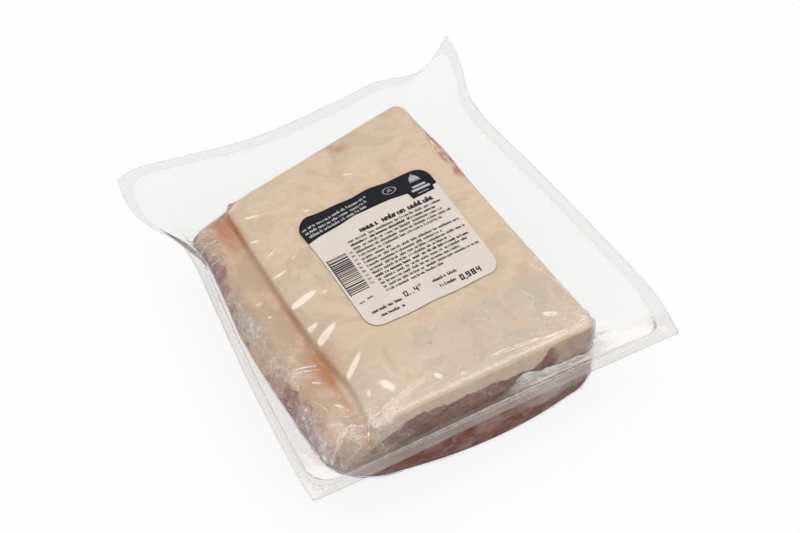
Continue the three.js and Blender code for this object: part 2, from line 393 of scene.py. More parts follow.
class Pack:
    """The smooth surfaces of the whole pack, worked out once."""

    def __init__(self):
        self.edge = sheet_edge()
        self.seal = seal_line()
        self.foot, drawn_in = border_foot(self.seal)
        self.walk = Walk(SLAB, [5] * 4)
        sides = side_rings()
        sides[-1][:, :2] -= 0.8 * drawn_in
        sides[-2][:, :2] -= 0.45 * drawn_in
        rim = sides[0]
        inner = [plateau_ring(rim, 0.9), plateau_ring(rim, 0.95)]
        outer = [self.border(0.3), self.border(0.6)]
        control = [*inner, *sides, self.foot, *outer]
        places = [0.9, 0.95, 1, 1 + 1 / 6, 1 + 2 / 6, 1.5, 1 + 4 / 6, 1 + 5 / 6, 2, 2.15, 2.3]
        middle = spans((0, 0.9, 40), (0.9, 0.95, 5))[:-1]
        slopes = spans((0.95, 1.06, 12), (1.06, 2, 72))
        plateau = np.array([plateau_ring(rim, share) for share in middle])
        self.levels = np.concatenate([middle, slopes])
        self.top = np.concatenate([plateau, through_rings(control, places, slopes)])
        self.top = settle(self.top)
        self.top_normals = normals_of(self.top)
        self.foot = self.top[-1]
        self.low = self.lower()
        self.low_normals = normals_of(self.low)

    def border(self, share):
        """A ring of the border: share 0 to 1 from foot to seal, 1 to 2 from seal to edge."""
        foot, edge = self.foot, self.edge
        if share <= 1:
            plan = mix(foot[:, :2], self.seal, share)
        else:
            plan = mix(self.seal, edge[:, :2], share - 1)
        inner = np.linalg.norm(plan - foot[:, :2], axis=1)
        outer = np.linalg.norm(edge[:, :2] - plan, axis=1)
        reach = inner / (inner + outer + 1e-9)
        height = mix(foot[:, 2], edge[:, 2], smooth(reach) * reach)
        return np.column_stack([plan, height])

    def lower(self):
        """The underside of the loin, from just under the border to the middle of the base."""
        rest = Walk(BASE, BASE_CORNER_RADII, BASE_BOWS).point
        away = rest / np.linalg.norm(rest, axis=1, keepdims=True)
        rings = [self.foot - [0, 0, 1.2]]
        for height, share, bulge in [(22, 0.86, 1), (14.5, 0.62, 2.6), (7.5, 0.36, 3.6),
                                     (2.6, 0.16, 3), (0.6, 0.05, 1.4)]:
            plan = mix(rest, self.foot[:, :2], share) + away * bulge
            rings.append(np.column_stack([plan, np.full(len(plan), height)]))
        for share in [1, 0.9, 0.5, 0]:
            rings.append(np.column_stack([rest * share, np.zeros(len(rest))]))
        places = [0, 0.2, 0.4, 0.6, 0.74, 0.82, 0.88, 1, 1.5, 2]
        wanted = spans((0, 0.9, 54), (0.9, 2, 10))
        rows = through_rings(rings, places, wanted)
        rows[..., 2] = np.maximum(rows[..., 2], 0)
        rows[wanted >= 0.88, :, 2] = 0
        return rows


def settle(rows):
    """Bends the groove, lets the front shoulder slump and the right side swell at its back."""
    rows = rows.copy()
    x, y, z = axes(rows)
    bend = through_rows(
        [[-84, 0], [-79, 0.5], [-67, 2.5], [-54, 4], [-35, 2], [-11, 0.4], [20, 0], [75, 0]],
        np.clip(y, -84, 75).ravel(),
    ).reshape(y.shape)
    near_groove = bell(x + 59, 9) * smooth((z - 33) / 4)
    swell = bell(y - 48, 17) * smooth((46.8 - z) / 1.5) * smooth((x - 40) / 5)
    slump = smooth((-72 - y) / 10) * smooth((z - 43) / 3) * smooth((x + 62) / 12)
    rows[..., 0] = x + bend * near_groove + 1.5 * swell
    rows[..., 2] = z - 0.3 * slump
    return rows


# ------------------------------------------------------------------ wrinkles in the film


def near_line(x, y, points, width):
    """1 on a line through points [x, y, ...], fading to 0 at about twice its width."""
    nearest = np.full(x.shape, 1e9)
    for (ax, ay), (bx, by) in zip(points[:-1], points[1:]):
        dx, dy = bx - ax, by - ay
        share = np.clip(((x - ax) * dx + (y - ay) * dy) / (dx * dx + dy * dy), 0, 1)
        nearest = np.minimum(nearest, np.hypot(x - ax - share * dx, y - ay - share * dy))
    return bell(nearest, width)


# Folds that stand up in the top film: points along each, then its width, height and milkiness.
STANDING_FOLDS = [
    ([(-91.5, -62), (-86, -70), (-80, -77), (-75, -84)], 1.8, 1.2, 0.5),
    ([(-77, -30.6), (-69, -31), (-61.4, -31.5)], 1.5, 0.4, 0.3),
    ([(-78.4, -78.5), (-73.3, -75.4), (-65.3, -70.2), (-57.9, -74.8)], 1.3, 0.5, 0.55),
    ([(-55.4, -74.3), (-43.6, -71.1), (-32.2, -68.6), (-26.4, -66.8)], 1.2, 0.3, 0.3),
    ([(-63, -82), (-57.9, -74.8), (-52, -70)], 1.2, 0.4, 0.3),
    ([(-96, 66), (-84.9, 73.7), (-77, 75)], 1.2, 0.6, 0.35),
    ([(-94, 58), (-83.9, 64.1), (-76, 68)], 1.1, 0.5, 0.35),
    ([(-92, 47), (-83, 55), (-75, 60)], 1.1, 0.5, 0.35),
    ([(-90, 36), (-82, 46), (-74, 52)], 1.1, 0.4, 0.3),
    ([(60, -73), (64.5, -70), (69, -67)], 1.3, 0.7, 0.5),
    ([(61, -77), (66, -77.5), (71, -77)], 1.3, 0.7, 0.5),
]


def fan_of_folds(x, y, folds, wander, size, seed):
    """How far each place is from a corner at x, y = 0, and the folds that fan out from there."""
    away = np.hypot(x, y)
    rays = np.sin(np.arctan2(y, x) * folds + wander * hills(away, size, seed))
    return away, np.clip(rays, 0, 1) ** 3


def film_relief(rows):
    """How far the film stands off the loin, in millimetres, and how creased it is there."""
    x, y, z = axes(rows)
    relief = np.zeros(x.shape)
    crease = np.zeros(x.shape)

    # Bumps along the shoulder above the groove.
    shoulder = bell(x + 52, 9) * smooth((z - 43) / 2) * smooth((y + 78) / 10)
    relief += 0.3 * shoulder * cloud(y + 0.35 * x, x * 0.3, 11, 3)

    # Crinkles down the outer side of the strip.
    outer = smooth((-73 - x) / 6) * smooth((z - 29.2) / 2)
    fine = ridges(x * 0.8 + z, y * 0.55, 4.2, 11)
    relief += 0.5 * outer * fine
    crease += outer * (0.12 + 0.5 * fine)

    # Long folds along the strip and across the groove.
    strip = smooth((-62 - x) / 6) * smooth((z - 33) / 3)
    fold = ridges(x + 0.25 * y, y * 0.5 + z, 9, 23, 4)
    relief += 0.3 * strip * fold
    crease += 0.3 * strip * fold * mix(0.5, 1.3, smooth((10 - y) / 30))

    # Folds that fan out from the strip's back left corner.
    away, rays = fan_of_folds(x + 86, y - 74, 19, 2, 9, 5)
    fan = smooth((away - 2) / 5) * bell(away, 20) * smooth(z - 28.8)
    relief += 0.5 * fan * rays
    crease += 0.5 * fan * rays

    # Folds at the front left corner.
    away, rays = fan_of_folds(x + 60, y + 80, 11, 3, 8, 15)
    fan = bell(away, 17) * smooth(z - 28.8) * smooth((away - 1) / 4)
    relief += 0.6 * fan * rays
    crease += 0.55 * fan * rays + 0.42 * fan

    # The crease along the slab's front shoulder, and folds down the front.
    front = bell(y + 76.5 + 1.6 * hills(x, 14, 31), 1.1) * smooth((z - 44) / 1.5)
    relief += 0.2 * front * smooth((x + 50) / 10)
    crease += 0.25 * front
    face = smooth((-80 - y) / 2) * smooth((z - 29.5) / 2) * smooth((z - 42) / -3)
    upright = ridges(x + z * 1.2, z * 0.5, 8, 41, 4)
    relief += 0.3 * face * upright
    crease += 0.35 * face * upright

    # Small wrinkles at the slab's front right corner.
    away = np.hypot(x - 61, y + 77)
    corner = bell(away, 9)
    fine = ridges(x * 0.9 + y * 0.5, y * 0.4 - z * 0.6, 3.2, 47)
    relief += 0.35 * corner * fine
    crease += corner * (0.3 + 0.7 * fine)

    for points, width, height, milk in STANDING_FOLDS:
        line = near_line(x, y, points, width)
        relief += height * line
        crease += milk * line * smooth((line - 0.3) / 0.6)
    return relief, np.clip(crease, 0, 1)


def film_veil_and_glare(x, y, z):
    """How much milky white is laid on the film. By the front face it is a painted reflection of
    the light on the fold. Along the strip it is a milky veil that is partly painted glare.
    """
    wobble = cloud(x, y, 7, 71) + 0.5 * cloud(x, y, 2.5, 73)
    # The pale band on the fold by the front face is a painted reflection of the light.
    glare_band = smooth((x - 4) / 22) * smooth((-78.5 - y) / 2.5)
    limit = 30.3 + 6 * bell(x - 22, 9) + 2.4 * bell(x - 41, 13)
    glare_band = glare_band * smooth((limit - z + 1.8 * wobble) / 0.9)
    streaks = smooth((ridges(x * 0.25 + y, z + y, 1.6, 77, 2) - 0.1) / 0.5)
    # Along the strip and at its front end, the veil is partly painted glare on crinkled film.
    strip = smooth((-74.5 - x) / 5) * smooth((z - 30) / 1.5) * smooth((22 - np.abs(y - 8)) / 20)
    front = 0.7 * smooth((-76 - x) / 4) * smooth((z - 30) / 1.5) * smooth((-44 - y) / 8)
    strip = (strip + front) * mix(0.1, 0.5, cloud(x + 0.5 * z, y * 0.4, 4.5, 75))
    return 0.95 * glare_band * mix(0.62, 1, streaks) + strip


# ------------------------------------------------------------------ meshes


def grid(name, across, along):
    """A flat grid, and how far each of its places is across and along it, from 0 to 1."""
    bpy.ops.object.select_all(action="DESELECT")
    bpy.ops.mesh.primitive_grid_add(x_subdivisions=across, y_subdivisions=along, size=1)
    made = bpy.context.object
    made.name = made.data.name = name
    place = np.empty(len(made.data.vertices) * 3)
    made.data.vertices.foreach_get("co", place)
    place = place.reshape(-1, 3)
    return made, place[:, 0] + 0.5, place[:, 1] + 0.5


def in_frame(places):
    """Places of the drawing, in the frame of the part."""
    return (places - OUTLINE_MIDDLE) * MILLIMETRE


def capped(*parts):
    """Joins rows, and draws each end row together to one point."""
    rows = np.concatenate(parts)
    rows[0], rows[-1] = rows[0].mean(0), rows[-1].mean(0)
    return rows


def closed_body(name, rows, notes):
    """Makes one closed body of rows that each run once round; the end rows are single points."""
    count, around = rows.shape[:2]
    body, across, along = grid(name, around, count - 1)
    mesh = body.data
    column = np.rint(across * around).astype(int)
    row = np.rint(along * (count - 1)).astype(int)
    mesh.vertices.foreach_set("co", in_frame(rows)[row, column % around].ravel())
    for note, values in notes.items():
        layer = mesh.attributes.new(note, "FLOAT", "POINT")
        layer.data.foreach_set("value", values[row, column % around].astype(np.float32))
    mesh.update()
    bpy.ops.object.mode_set(mode="EDIT")
    bpy.ops.mesh.select_all(action="SELECT")
    bpy.ops.mesh.remove_doubles(threshold=2e-6)
    bpy.ops.mesh.normals_make_consistent(inside=False)
    bpy.ops.object.mode_set(mode="OBJECT")
    bpy.ops.object.shade_smooth()
    return body


def hand_over(piece, material, node):
    """Gives a piece its material and hands it to the frame."""
    piece.data.materials.append(material)
    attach(piece, "root")
    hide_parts(node)


# ------------------------------------------------------------------ materials


class Finish:
    """The node tree of a material or of the room, built a node at a time."""

    def __init__(self, owner):
        owner.use_nodes = True
        self.owner, self.tree = owner, owner.node_tree
        self.tree.nodes.clear()

    def node(self, kind, sockets=None, **settings):
        made = self.tree.nodes.new(kind)
        for key, value in settings.items():
            setattr(made, key, value)
        for key, value in (sockets or {}).items():
            self.feed(made.inputs[key], value)
        return made

    def feed(self, socket, value):
        """Links a socket to another, or sets its value."""
        if isinstance(value, bpy.types.NodeSocket):
            self.tree.links.new(value, socket)
        else:
            socket.default_value = value

    def note(self, name):
        return self.node("ShaderNodeAttribute", attribute_name=name).outputs["Fac"]

    def place(self):
        return self.node("ShaderNodeTexCoord").outputs["Object"]

    def stretched(self, scale, turn=0.0):
        """Object coordinates, turned about the upright and then scaled unevenly."""
        return self.node("ShaderNodeMapping", {
            "Vector": self.place(), "Rotation": (0, 0, turn), "Scale": scale,
        }).outputs["Vector"]

    def noise(self, scale, detail=3.0, vector=None, roughness=0.55, distortion=0.0):
        return self.node("ShaderNodeTexNoise", {
            "Vector": vector or self.place(), "Scale": scale, "Detail": detail,
            "Roughness": roughness, "Distortion": distortion,
        }).outputs["Fac"]

    def maths(self, how, a, b=0.0, clamp=False):
        return self.node("ShaderNodeMath", {0: a, 1: b}, operation=how, use_clamp=clamp).outputs[0]

    def times(self, a, b):
        return self.maths("MULTIPLY", a, b)

    def total(self, values):
        whole, *others = values
        for value in others:
            whole = self.maths("ADD", whole, value)
        return whole

    def off_middle(self, pattern):
        """How far a pattern is from its middle value: 0 along winding lines."""
        return self.maths("ABSOLUTE", self.maths("SUBTRACT", pattern, 0.5))

    def sum_of(self, value, times, plus):
        return self.node(
            "ShaderNodeMath", {0: value, 1: times, 2: plus}, operation="MULTIPLY_ADD",
        ).outputs[0]

    def spread(self, value, low, high, to_low=0.0, to_high=1.0):
        """Stretches a range of a value to another range, with soft ends."""
        return self.node("ShaderNodeMapRange", {
            "Value": value, "From Min": low, "From Max": high,
            "To Min": to_low, "To Max": to_high,
        }, interpolation_type="SMOOTHSTEP").outputs["Result"]

    def patches(self, scale, low, high, detail=4.0, turn=None, distortion=0.0, to_low=0.0):
        """Soft-edged patches of noise, which may be stretched and turned."""
        vector = turn and self.stretched(*turn)
        pattern = self.noise(scale, detail, vector, distortion=distortion)
        return self.spread(pattern, low, high, to_low)

    def part(self, share, pattern):
        """A pattern times a share, which is a number, a socket or the name of a note."""
        return self.times(self.note(share) if isinstance(share, str) else share, pattern)

    def blend(self, share, a, b):
        """A colour between two, each a socket or three numbers."""
        mixer = self.node("ShaderNodeMix", data_type="RGBA")
        inputs = {socket.identifier: socket for socket in mixer.inputs}
        self.feed(inputs["Factor_Float"], share)
        for name, colour in (("A_Color", a), ("B_Color", b)):
            plain = not isinstance(colour, bpy.types.NodeSocket)
            self.feed(inputs[name], (*colour[:3], 1) if plain else colour)
        return next(s for s in mixer.outputs if s.identifier == "Result_Color")

    def bump(self, height, strength, distance, under=None):
        sockets = {"Height": height, "Strength": strength, "Distance": distance}
        if under is not None:
            sockets["Normal"] = under
        return self.node("ShaderNodeBump", sockets).outputs["Normal"]

    def mix_shaders(self, share, a, b):
        return self.node("ShaderNodeMixShader", {0: share, 1: a, 2: b}).outputs[0]

    def finish(self, shader):
        self.node("ShaderNodeOutputMaterial", {"Surface": shader})
        return self.owner


def new_finish(name):
    return Finish(bpy.data.materials.new(name))


# Colours of the patches, streaks and specks in the fat and the lean meat.
MEAT_COLOURS = {
    "cream": (0.72, 0.555, 0.42), "pale streak": (0.78, 0.66, 0.53),
    "blotch": (0.54, 0.40, 0.285), "rosy blotch": (0.60, 0.40, 0.285),
    "dull": (0.56, 0.48, 0.375), "pale line": (0.78, 0.65, 0.52),
    "tan": (0.63, 0.44, 0.305), "deep tan": (0.49, 0.335, 0.225),
    "speck": (0.33, 0.235, 0.17), "spot": (0.28, 0.235, 0.2),
    "vein": (0.40, 0.25, 0.20), "brown": (0.19, 0.043, 0.018),
    "membrane": (0.42, 0.22, 0.165), "pink": (0.53, 0.31, 0.285),
    "purple": (0.25, 0.12, 0.14), "pale lean": (0.60, 0.44, 0.33),
    "stain": (0.47, 0.19, 0.075), "blood": (0.42, 0.15, 0.105),
}


def fat_look(f, meat):
    """Cream fat with blotches, fine streaks and duller swirls at the front. At the left it is tan,
    partly from the thinner fat's colour and partly from painted shade on the strip.
    """
    fat = f.blend(f.patches(24, 0.36, 0.64), meat.fat_colour, meat.fat_shade)

    def lay(share, pattern, name):
        return f.blend(f.part(share, pattern), fat, MEAT_COLOURS[name])

    fat = lay(0.42, f.patches(85, 0.36, 0.66, 5), "cream")
    fat = lay(0.32, f.patches(70, 0.5, 0.7, 4, ((1, 4.5, 1), 0.7), 0.6), "pale streak")
    fat = lay(0.45, f.patches(38, 0.52, 0.60, 5, None, 1.5), "blotch")
    fat = lay(0.3, f.patches(120, 0.56, 0.62, 4, None, 1.0), "rosy blotch")
    swirl = f.noise(30, 5, distortion=2.2)
    fat = lay("grey", f.spread(swirl, 0.37, 0.63, 0.25, 1.0), "dull")
    lines = f.spread(f.off_middle(swirl), 0.018, 0.0, 0.0, 0.55)
    fat = lay(f.sum_of(f.note("grey"), 0.7, 0.3), lines, "pale line")
    # The strip's tan is partly the thinner fat's colour and partly painted shade where the strip
    # faces away from the light.
    tan = f.blend(f.patches(60, 0.40, 0.56, 5, None, 0.9),
                  MEAT_COLOURS["tan"], MEAT_COLOURS["deep tan"])
    fat = f.blend(f.note("tan"), fat, tan)
    fat = lay(0.4, f.patches(430, 0.70, 0.76, 2), "speck")
    spots = f.spread(f.noise(150, 2), 0.71, 0.76, 0.0, 0.5)
    return lay(f.sum_of(f.note("grey"), 0.7, 0.2), spots, "spot")


def lean_look(f, meat):
    """Grained lean meat with veins, brown below the border, pink and pale where noted."""
    grain = f.patches(50, 0.35, 0.65, 5, ((1, 1, 3.2), 0.2), 0.5)
    lean = f.blend(grain, meat.lean_colour, meat.lean_shade)

    def lay(share, pattern, name):
        return f.blend(f.part(share, pattern), lean, MEAT_COLOURS[name])

    vein = f.noise(60, 4, f.stretched((1, 0.6, 2.2), 0.9), distortion=1.3)
    veins = f.spread(f.off_middle(vein), 0.05, 0.0, 0.0, 0.45)
    lean = f.blend(veins, lean, MEAT_COLOURS["vein"])
    lean = lay("brown", f.patches(80, 0.35, 0.6, 4, None, 0.6, 0.72), "brown")
    membrane = f.patches(95, 0.53, 0.60, 5, ((1, 1, 1.8), 0.5), 1.6)
    lean = lay("brown", f.times(membrane, 0.6), "membrane")
    lean = lay("pink", f.patches(90, 0.3, 0.6, 4, to_low=0.3), "pink")
    lean = lay("pink", f.times(f.patches(130, 0.50, 0.58, 4, None, 0.8), 0.6), "purple")
    return lay("pale", f.patches(75, 0.34, 0.6, 5, to_low=0.25), "pale lean")


def flesh_finish(meat, name, roughness, roughening):
    """One look for all the meat: fat, lean and what lies between, told apart by notes."""
    f = new_finish(name)
    wander = f.total([f.noise(75, 5, distortion=0.7), f.noise(230, 3)])
    wander = f.times(f.maths("SUBTRACT", wander, 1.0), 0.75)
    amount = f.spread(f.total([f.note("lean"), wander]), 0.42, 0.58)
    colour = f.blend(amount, fat_look(f, meat), lean_look(f, meat))
    stain = f.part("stain", f.patches(110, 0.3, 0.6, 4, to_low=0.72))
    colour = f.blend(stain, colour, MEAT_COLOURS["stain"])
    blood = f.part("blood", f.patches(190, 0.35, 0.6, 4, to_low=0.2))
    colour = f.blend(blood, colour, MEAT_COLOURS["blood"])

    relief = f.bump(f.noise(170, 5, distortion=0.4), 0.35, 0.0007)
    relief = f.bump(f.noise(60, 3, f.stretched((1, 1, 2.5))), roughening, 0.0012, relief)
    return f.finish(f.node("ShaderNodeBsdfPrincipled", {
        "Base Color": colour, "Roughness": roughness, "Normal": relief, "IOR": 1.4,
        "Specular IOR Level": 0.3,
    }).outputs["BSDF"])


# Low pillows in the top film whose front slopes catch the long lamp: from x, y to x, y, then
# their half width and height.
PILLOWS = [
    (-63.0, 2.0, -44.0, 3.8, 5.0, 0.72), (-62.5, -13.0, -50.0, -13.8, 4.6, 0.66),
    (-61.5, -24.4, -45.0, -16.0, 5.2, 0.76), (-55.6, -47.8, -43.0, -37.2, 3.8, 0.56),
    (-41.6, -53.6, -40.4, -65.6, 3.8, 0.64), (-50.6, -55.0, -51.6, -63.4, 2.6, 0.54),
    (-57.4, 61.2, -47.2, 56.4, 1.8, 0.36), (-60.4, 47.1, -54.0, 43.7, 1.8, 0.34),
    (-60.0, 20.7, -51.0, 21.1, 1.9, 0.34), (-47.0, 24.8, -43.5, 25.4, 1.3, 0.22),
    (-72.6, 12.4, -69.0, 12.2, 1.8, 0.37), (-71.6, 3.0, -68.4, 2.8, 1.7, 0.34),
    (-43.0, -0.4, -40.0, -0.2, 1.6, 0.32), (10.0, -71.2, 24.0, -72.2, 1.7, 0.28),
    (20.0, -71.9, 34.0, -73.5, 2.0, 0.32), (35.5, -74.6, 50.0, -75.6, 1.7, 0.28),
    (-18.2, -64.6, -17.7, -71.0, 2.6, 0.42), (-7.4, -71.6, -6.2, -75.0, 2.0, 0.32),
    (43.0, -61.2, 49.0, -65.2, 3.0, 0.42), (-56.0, 33.2, -50.0, 34.4, 1.4, 0.26),
    (-66.0, -54.6, -63.0, -59.6, 2.0, 0.34), (-70.0, -39.6, -66.0, -42.6, 1.8, 0.31),
    (-2.0, 60.0, 6.0, 57.0, 1.3, 0.23), (-30.0, 48.0, -24.0, 47.0, 1.2, 0.22),
]

# A long spot's half length as a share of its length, so that it fades out just past its ends.
SPOT_REACH = 0.7

# How much more light the film mirrors on a pillow.
PILLOW_MIRROR = 0.034

# Half width of a thin crease, and the colours of film that has turned milky. The shade colour also
# paints the dark lines along the seal and the cut edge.
LINE_HALF_WIDTH = 0.55
MILK_WHITE = (0.88, 0.835, 0.79)
MILK_SHADE = (0.21, 0.165, 0.145)
MILK_FLECK = (0.20, 0.13, 0.115)

# What the film lets through of light on its way to the loin.
LAMP_LIGHT_LET_THROUGH = (0.975, 0.975, 0.973, 1)

# Thin creases drawn as milky white lines: partly the film's own whitened creases and partly
# painted glints along the right rim and the front. Each runs from x, y to x, y, with how strongly
# it shows.
CREASE_AND_GLINT_LINES = [
    (-94, 77, -84, 69, 0.6), (-85, 69, -73, 62.5, 0.9), (-83.5, 62, -69, 55, 0.9),
    (-84, 57, -74, 50, 0.7), (-82, 51, -72, 45, 0.6), (-86, 73, -77, 68, 0.8),
    (-86, 30, -76, 40, 0.5), (-84, 20, -77, 31, 0.5), (-84, 5, -78, 14, 0.5),
    (-83, -6, -79, 2, 0.6), (-84, -14, -78, -10, 0.8), (-83, -26, -79, -15, 0.6),
    (-78.4, -79, -71.5, -72, 0.9), (-71.5, -72, -64, -70.5, 0.8), (-66, -70, -57, -75, 0.9),
    (-57, -75, -43, -71, 0.8), (-43, -71, -26, -66.5, 0.7), (-62, -82, -57, -74, 0.8),
    (-56, -82, -55, -75, 0.6), (-76.5, -30.2, -61.8, -33.5, 0.8), (-75, -32.5, -62, -36, 0.6),
    (-77, -35, -72, -42, 0.5), (-74, -50, -69, -62, 0.5), (-70, -63, -62, -66, 0.6),
    (-60, -66, -52, -71, 0.6), (-50, -73.5, -42, -76, 0.6), (-30, -73.5, -12, -72, 0.4),
    (12, -72.6, 34, -74.8, 0.7), (35, -75.6, 52, -76.8, 0.9), (52, -76, 62, -74, 0.8),
    (58, -70, 70, -66, 0.7), (58, -75, 72, -76, 0.8), (61, -79, 70, -83, 0.7),
    (55, -66, 61, -58, 0.5), (46, -62, 51, -72, 0.5), (40, -44, 47, -60, 0.5),
    (-8, -73, -3, -62, 0.4), (-20, -62, -12, -71, 0.4), (57.8, -42, 60.2, -60, 0.9),
    (56.4, -28, 58, -41, 0.7), (54.6, -6, 56.2, -22, 0.5), (51.6, 30, 53.6, 8, 0.6),
    (48.8, 66, 50.8, 40, 0.8), (53, -34, 58.6, -50, 0.6),
]


def long_spot(f, ax, ay, bx, by, half_width, high):
    """A long soft spot from one place to another: high in its middle, 0 at its rim."""
    middle = in_frame(np.array([(ax + bx) / 2, (ay + by) / 2, 0]))
    local = f.node("ShaderNodeMapping", {
        "Vector": f.place(), "Location": (middle[0], middle[1], 0),
        "Rotation": (0, 0, math.atan2(by - ay, bx - ax)),
        "Scale": (SPOT_REACH * math.hypot(bx - ax, by - ay) * MILLIMETRE,
                  half_width * MILLIMETRE, 1),
    }, vector_type="TEXTURE").outputs["Vector"]
    near = f.node("ShaderNodeTexGradient", {"Vector": local}, gradient_type="SPHERICAL")
    return f.spread(near.outputs["Fac"], 0, 1, 0, high)


def film_finish(film, name, grain, milkiness, sheen, mirror, pillows=(), lines=()):
    """Clear film: mirrors more at a glancing angle, and turns milky along creases."""
    f = new_finish(name)
    crease = f.note("crease")
    wrinkle = f.noise(grain, 3, f.stretched((1, 0.45, 1), 0.4), distortion=0.4)
    relief = f.bump(wrinkle, 0.5, 0.0004)
    if pillows:
        lifted = f.total([long_spot(f, *pillow) for pillow in pillows])
        relief = f.bump(lifted, 1.0, MILLIMETRE, relief)
        mirror = f.sum_of(f.spread(lifted, 0.0, 0.14), PILLOW_MIRROR, mirror)
    fine = f.off_middle(f.noise(330, 2, f.stretched((1, 0.5, 1), -0.5), distortion=0.5))
    crinkle = f.bump(f.times(fine, crease), 1.0, 0.0026, relief)
    facing = f.node("ShaderNodeLayerWeight", {"Blend": 0.5, "Normal": crinkle}).outputs["Facing"]
    mirrored = f.sum_of(f.maths("POWER", facing, 5.0), sheen, mirror)
    gloss = f.node("ShaderNodeBsdfGlossy", {
        "Color": (1, 1, 1, 1), "Roughness": 0.17, "Normal": crinkle,
    }).outputs["BSDF"]
    clear = f.node("ShaderNodeBsdfTransparent", {"Color": (*film.tint, 1)}).outputs["BSDF"]
    seen = f.mix_shaders(
        mirrored, f.mix_shaders(milky_share(f, fine, crease, milkiness, lines), clear, milk(f)),
        gloss)
    # Light on its way to the loin passes the film plainly and is hardly dimmed.
    passing = f.node("ShaderNodeBsdfTransparent", {"Color": LAMP_LIGHT_LET_THROUGH}).outputs[0]
    lamp_ray = f.node("ShaderNodeLightPath").outputs["Is Shadow Ray"]
    return f.finish(f.mix_shaders(lamp_ray, seen, passing))


def milky_share(f, fine, crease, milkiness, lines):
    """How milky the film is: broken up along its creases, plus thin lines (whitened creases and
    painted glints) and the veil (which holds painted glare).
    """
    folds = f.spread(f.off_middle(f.noise(125, 2, distortion=1.2)), 0.045, 0.0, 0.0, 1.3)
    blots = f.spread(f.noise(260, 3, distortion=1.4), 0.50, 0.60, 0.3, 0.85)
    cracked = f.total([f.spread(fine, 0.035, 0.0), folds, blots])
    milky = f.times(f.times(crease, cracked), milkiness)
    if lines:
        # Thin white lines: whitened creases and painted glints.
        creases_and_glints = f.total([
            long_spot(f, *line[:4], LINE_HALF_WIDTH, line[4]) for line in lines])
        broken = f.spread(f.noise(240, 2), 0.38, 0.58, 0.08, 0.85)
        milky = f.total([milky, f.times(creases_and_glints, broken)])
    return f.maths("ADD", milky, f.note("veil"), clamp=True)


def milk(f):
    # The shade note greys the sealed band and paints dark lines along the seal and cut edge.
    """The milky film itself: white, darker where it is shaded and flecked where dappled."""
    flecks = f.spread(f.noise(480, 2), 0.44, 0.60, 0.3, 1.0)
    plain = f.blend(f.note("shade"), MILK_WHITE, MILK_SHADE)
    colour = f.blend(f.times(f.note("dapple"), flecks), plain, MILK_FLECK)
    return f.node("ShaderNodeBsdfDiffuse", {"Color": colour}).outputs["BSDF"]


def paper_finish(label):
    f = new_finish("label paper")
    fibre = f.noise(900, 3)
    colour = f.blend(f.spread(f.noise(60, 3), 0.3, 0.7), label.paper_colour, (0.67, 0.60, 0.535))
    return f.finish(f.node("ShaderNodeBsdfPrincipled", {
        "Base Color": colour, "Roughness": 0.5, "Normal": f.bump(fibre, 0.12, 0.0002),
    }).outputs["BSDF"])


def ink_finish(name, colour, roughness):
    f = new_finish(name)
    worn = f.spread(f.noise(700, 3), 0.3, 0.75)
    lighter = tuple(min(1.0, c * 1.35 + 0.004) for c in colour)
    return f.finish(f.node("ShaderNodeBsdfPrincipled", {
        "Base Color": f.blend(worn, colour, lighter), "Roughness": roughness,
        "Specular IOR Level": 0.2,
        "Normal": f.bump(f.noise(1200, 2), 0.1, 0.0001),
    }).outputs["BSDF"])


# ------------------------------------------------------------------ settings


def a_colour(name, description, default):
    return bpy.props.FloatVectorProperty(
        name=name, description=description, subtype="COLOR", size=3, default=default,
        min=0, max=1)


def a_length(name, description, default, least, most):
    return bpy.props.FloatProperty(
        name=name, description=description, default=default, min=least, max=most,
        unit="LENGTH", precision=5)


def a_share(name, description, default, most=1.0):
    return bpy.props.FloatProperty(
        name=name, description=description, default=default, min=0, max=most, subtype="FACTOR")


class LoinSettings(bpy.types.PropertyGroup):
    under_film: a_length("Under film", "How far the meat lies under the film's outer face",
                         0.00035, 0.0002, 0.001)
    fat_depth: a_length("Fat depth", "Thickness of the fat over the lean meat",
                        0.0026, 0.001, 0.006)
    fat_colour: a_colour("Fat", "Main colour of the fat", (0.70, 0.525, 0.375))
    fat_shade: a_colour("Fat shade", "Second colour of the fat", (0.64, 0.51, 0.365))
    lean_colour: a_colour("Lean", "Main colour of the lean meat", (0.15, 0.05, 0.033))
    lean_shade: a_colour("Lean shade", "Second colour of the lean meat", (0.29, 0.130, 0.094))


class FilmSettings(bpy.types.PropertyGroup):
    thickness: a_length("Thickness", "Thickness of each film", 0.00012, 0.00005, 0.0003)
    tint: a_colour("Tint", "What one face of the film lets through", (0.992, 0.992, 0.991))
    mirror: a_share("Mirror", "Share of light that a face mirrors straight back", 0.03, 0.2)
    seal_veil: a_share("Seal veil", "How much the sealed band lightens what is behind it", 0.36)


class LabelSettings(bpy.types.PropertyGroup):
    width: a_length("Width", "Width of the label", 0.073, 0.05, 0.09)
    length: a_length("Length", "Length of the label", 0.075, 0.05, 0.09)
    corner: a_length("Corner", "Radius of the label's corners", 0.008, 0.002, 0.02)
    turned: bpy.props.FloatProperty(
        name="Turned", description="How far the label is turned", subtype="ANGLE",
        default=math.radians(1.7))
    paper_colour: a_colour("Paper", "Colour of the paper", (0.70, 0.63, 0.56))
    band_colour: a_colour("Band", "Colour of the dark band", (0.005, 0.005, 0.010))
    ink_colour: a_colour("Ink", "Colour of the printed bars", (0.022, 0.019, 0.018))


class StudioSettings(bpy.types.PropertyGroup):
    floor_colour: a_colour("Floor", "Colour of the floor", (0.8, 0.8, 0.8))
    lamp_power: bpy.props.FloatProperty(
        name="Lamps", description="Power of each soft lamp", default=3.6, unit="POWER")
    room_light: a_share("Room", "Brightness of the room", 0.62, 2.0)


def settings(kind):
    return getattr(bpy.context.scene, kind)


PACK = Pack()


# ------------------------------------------------------------------ operators


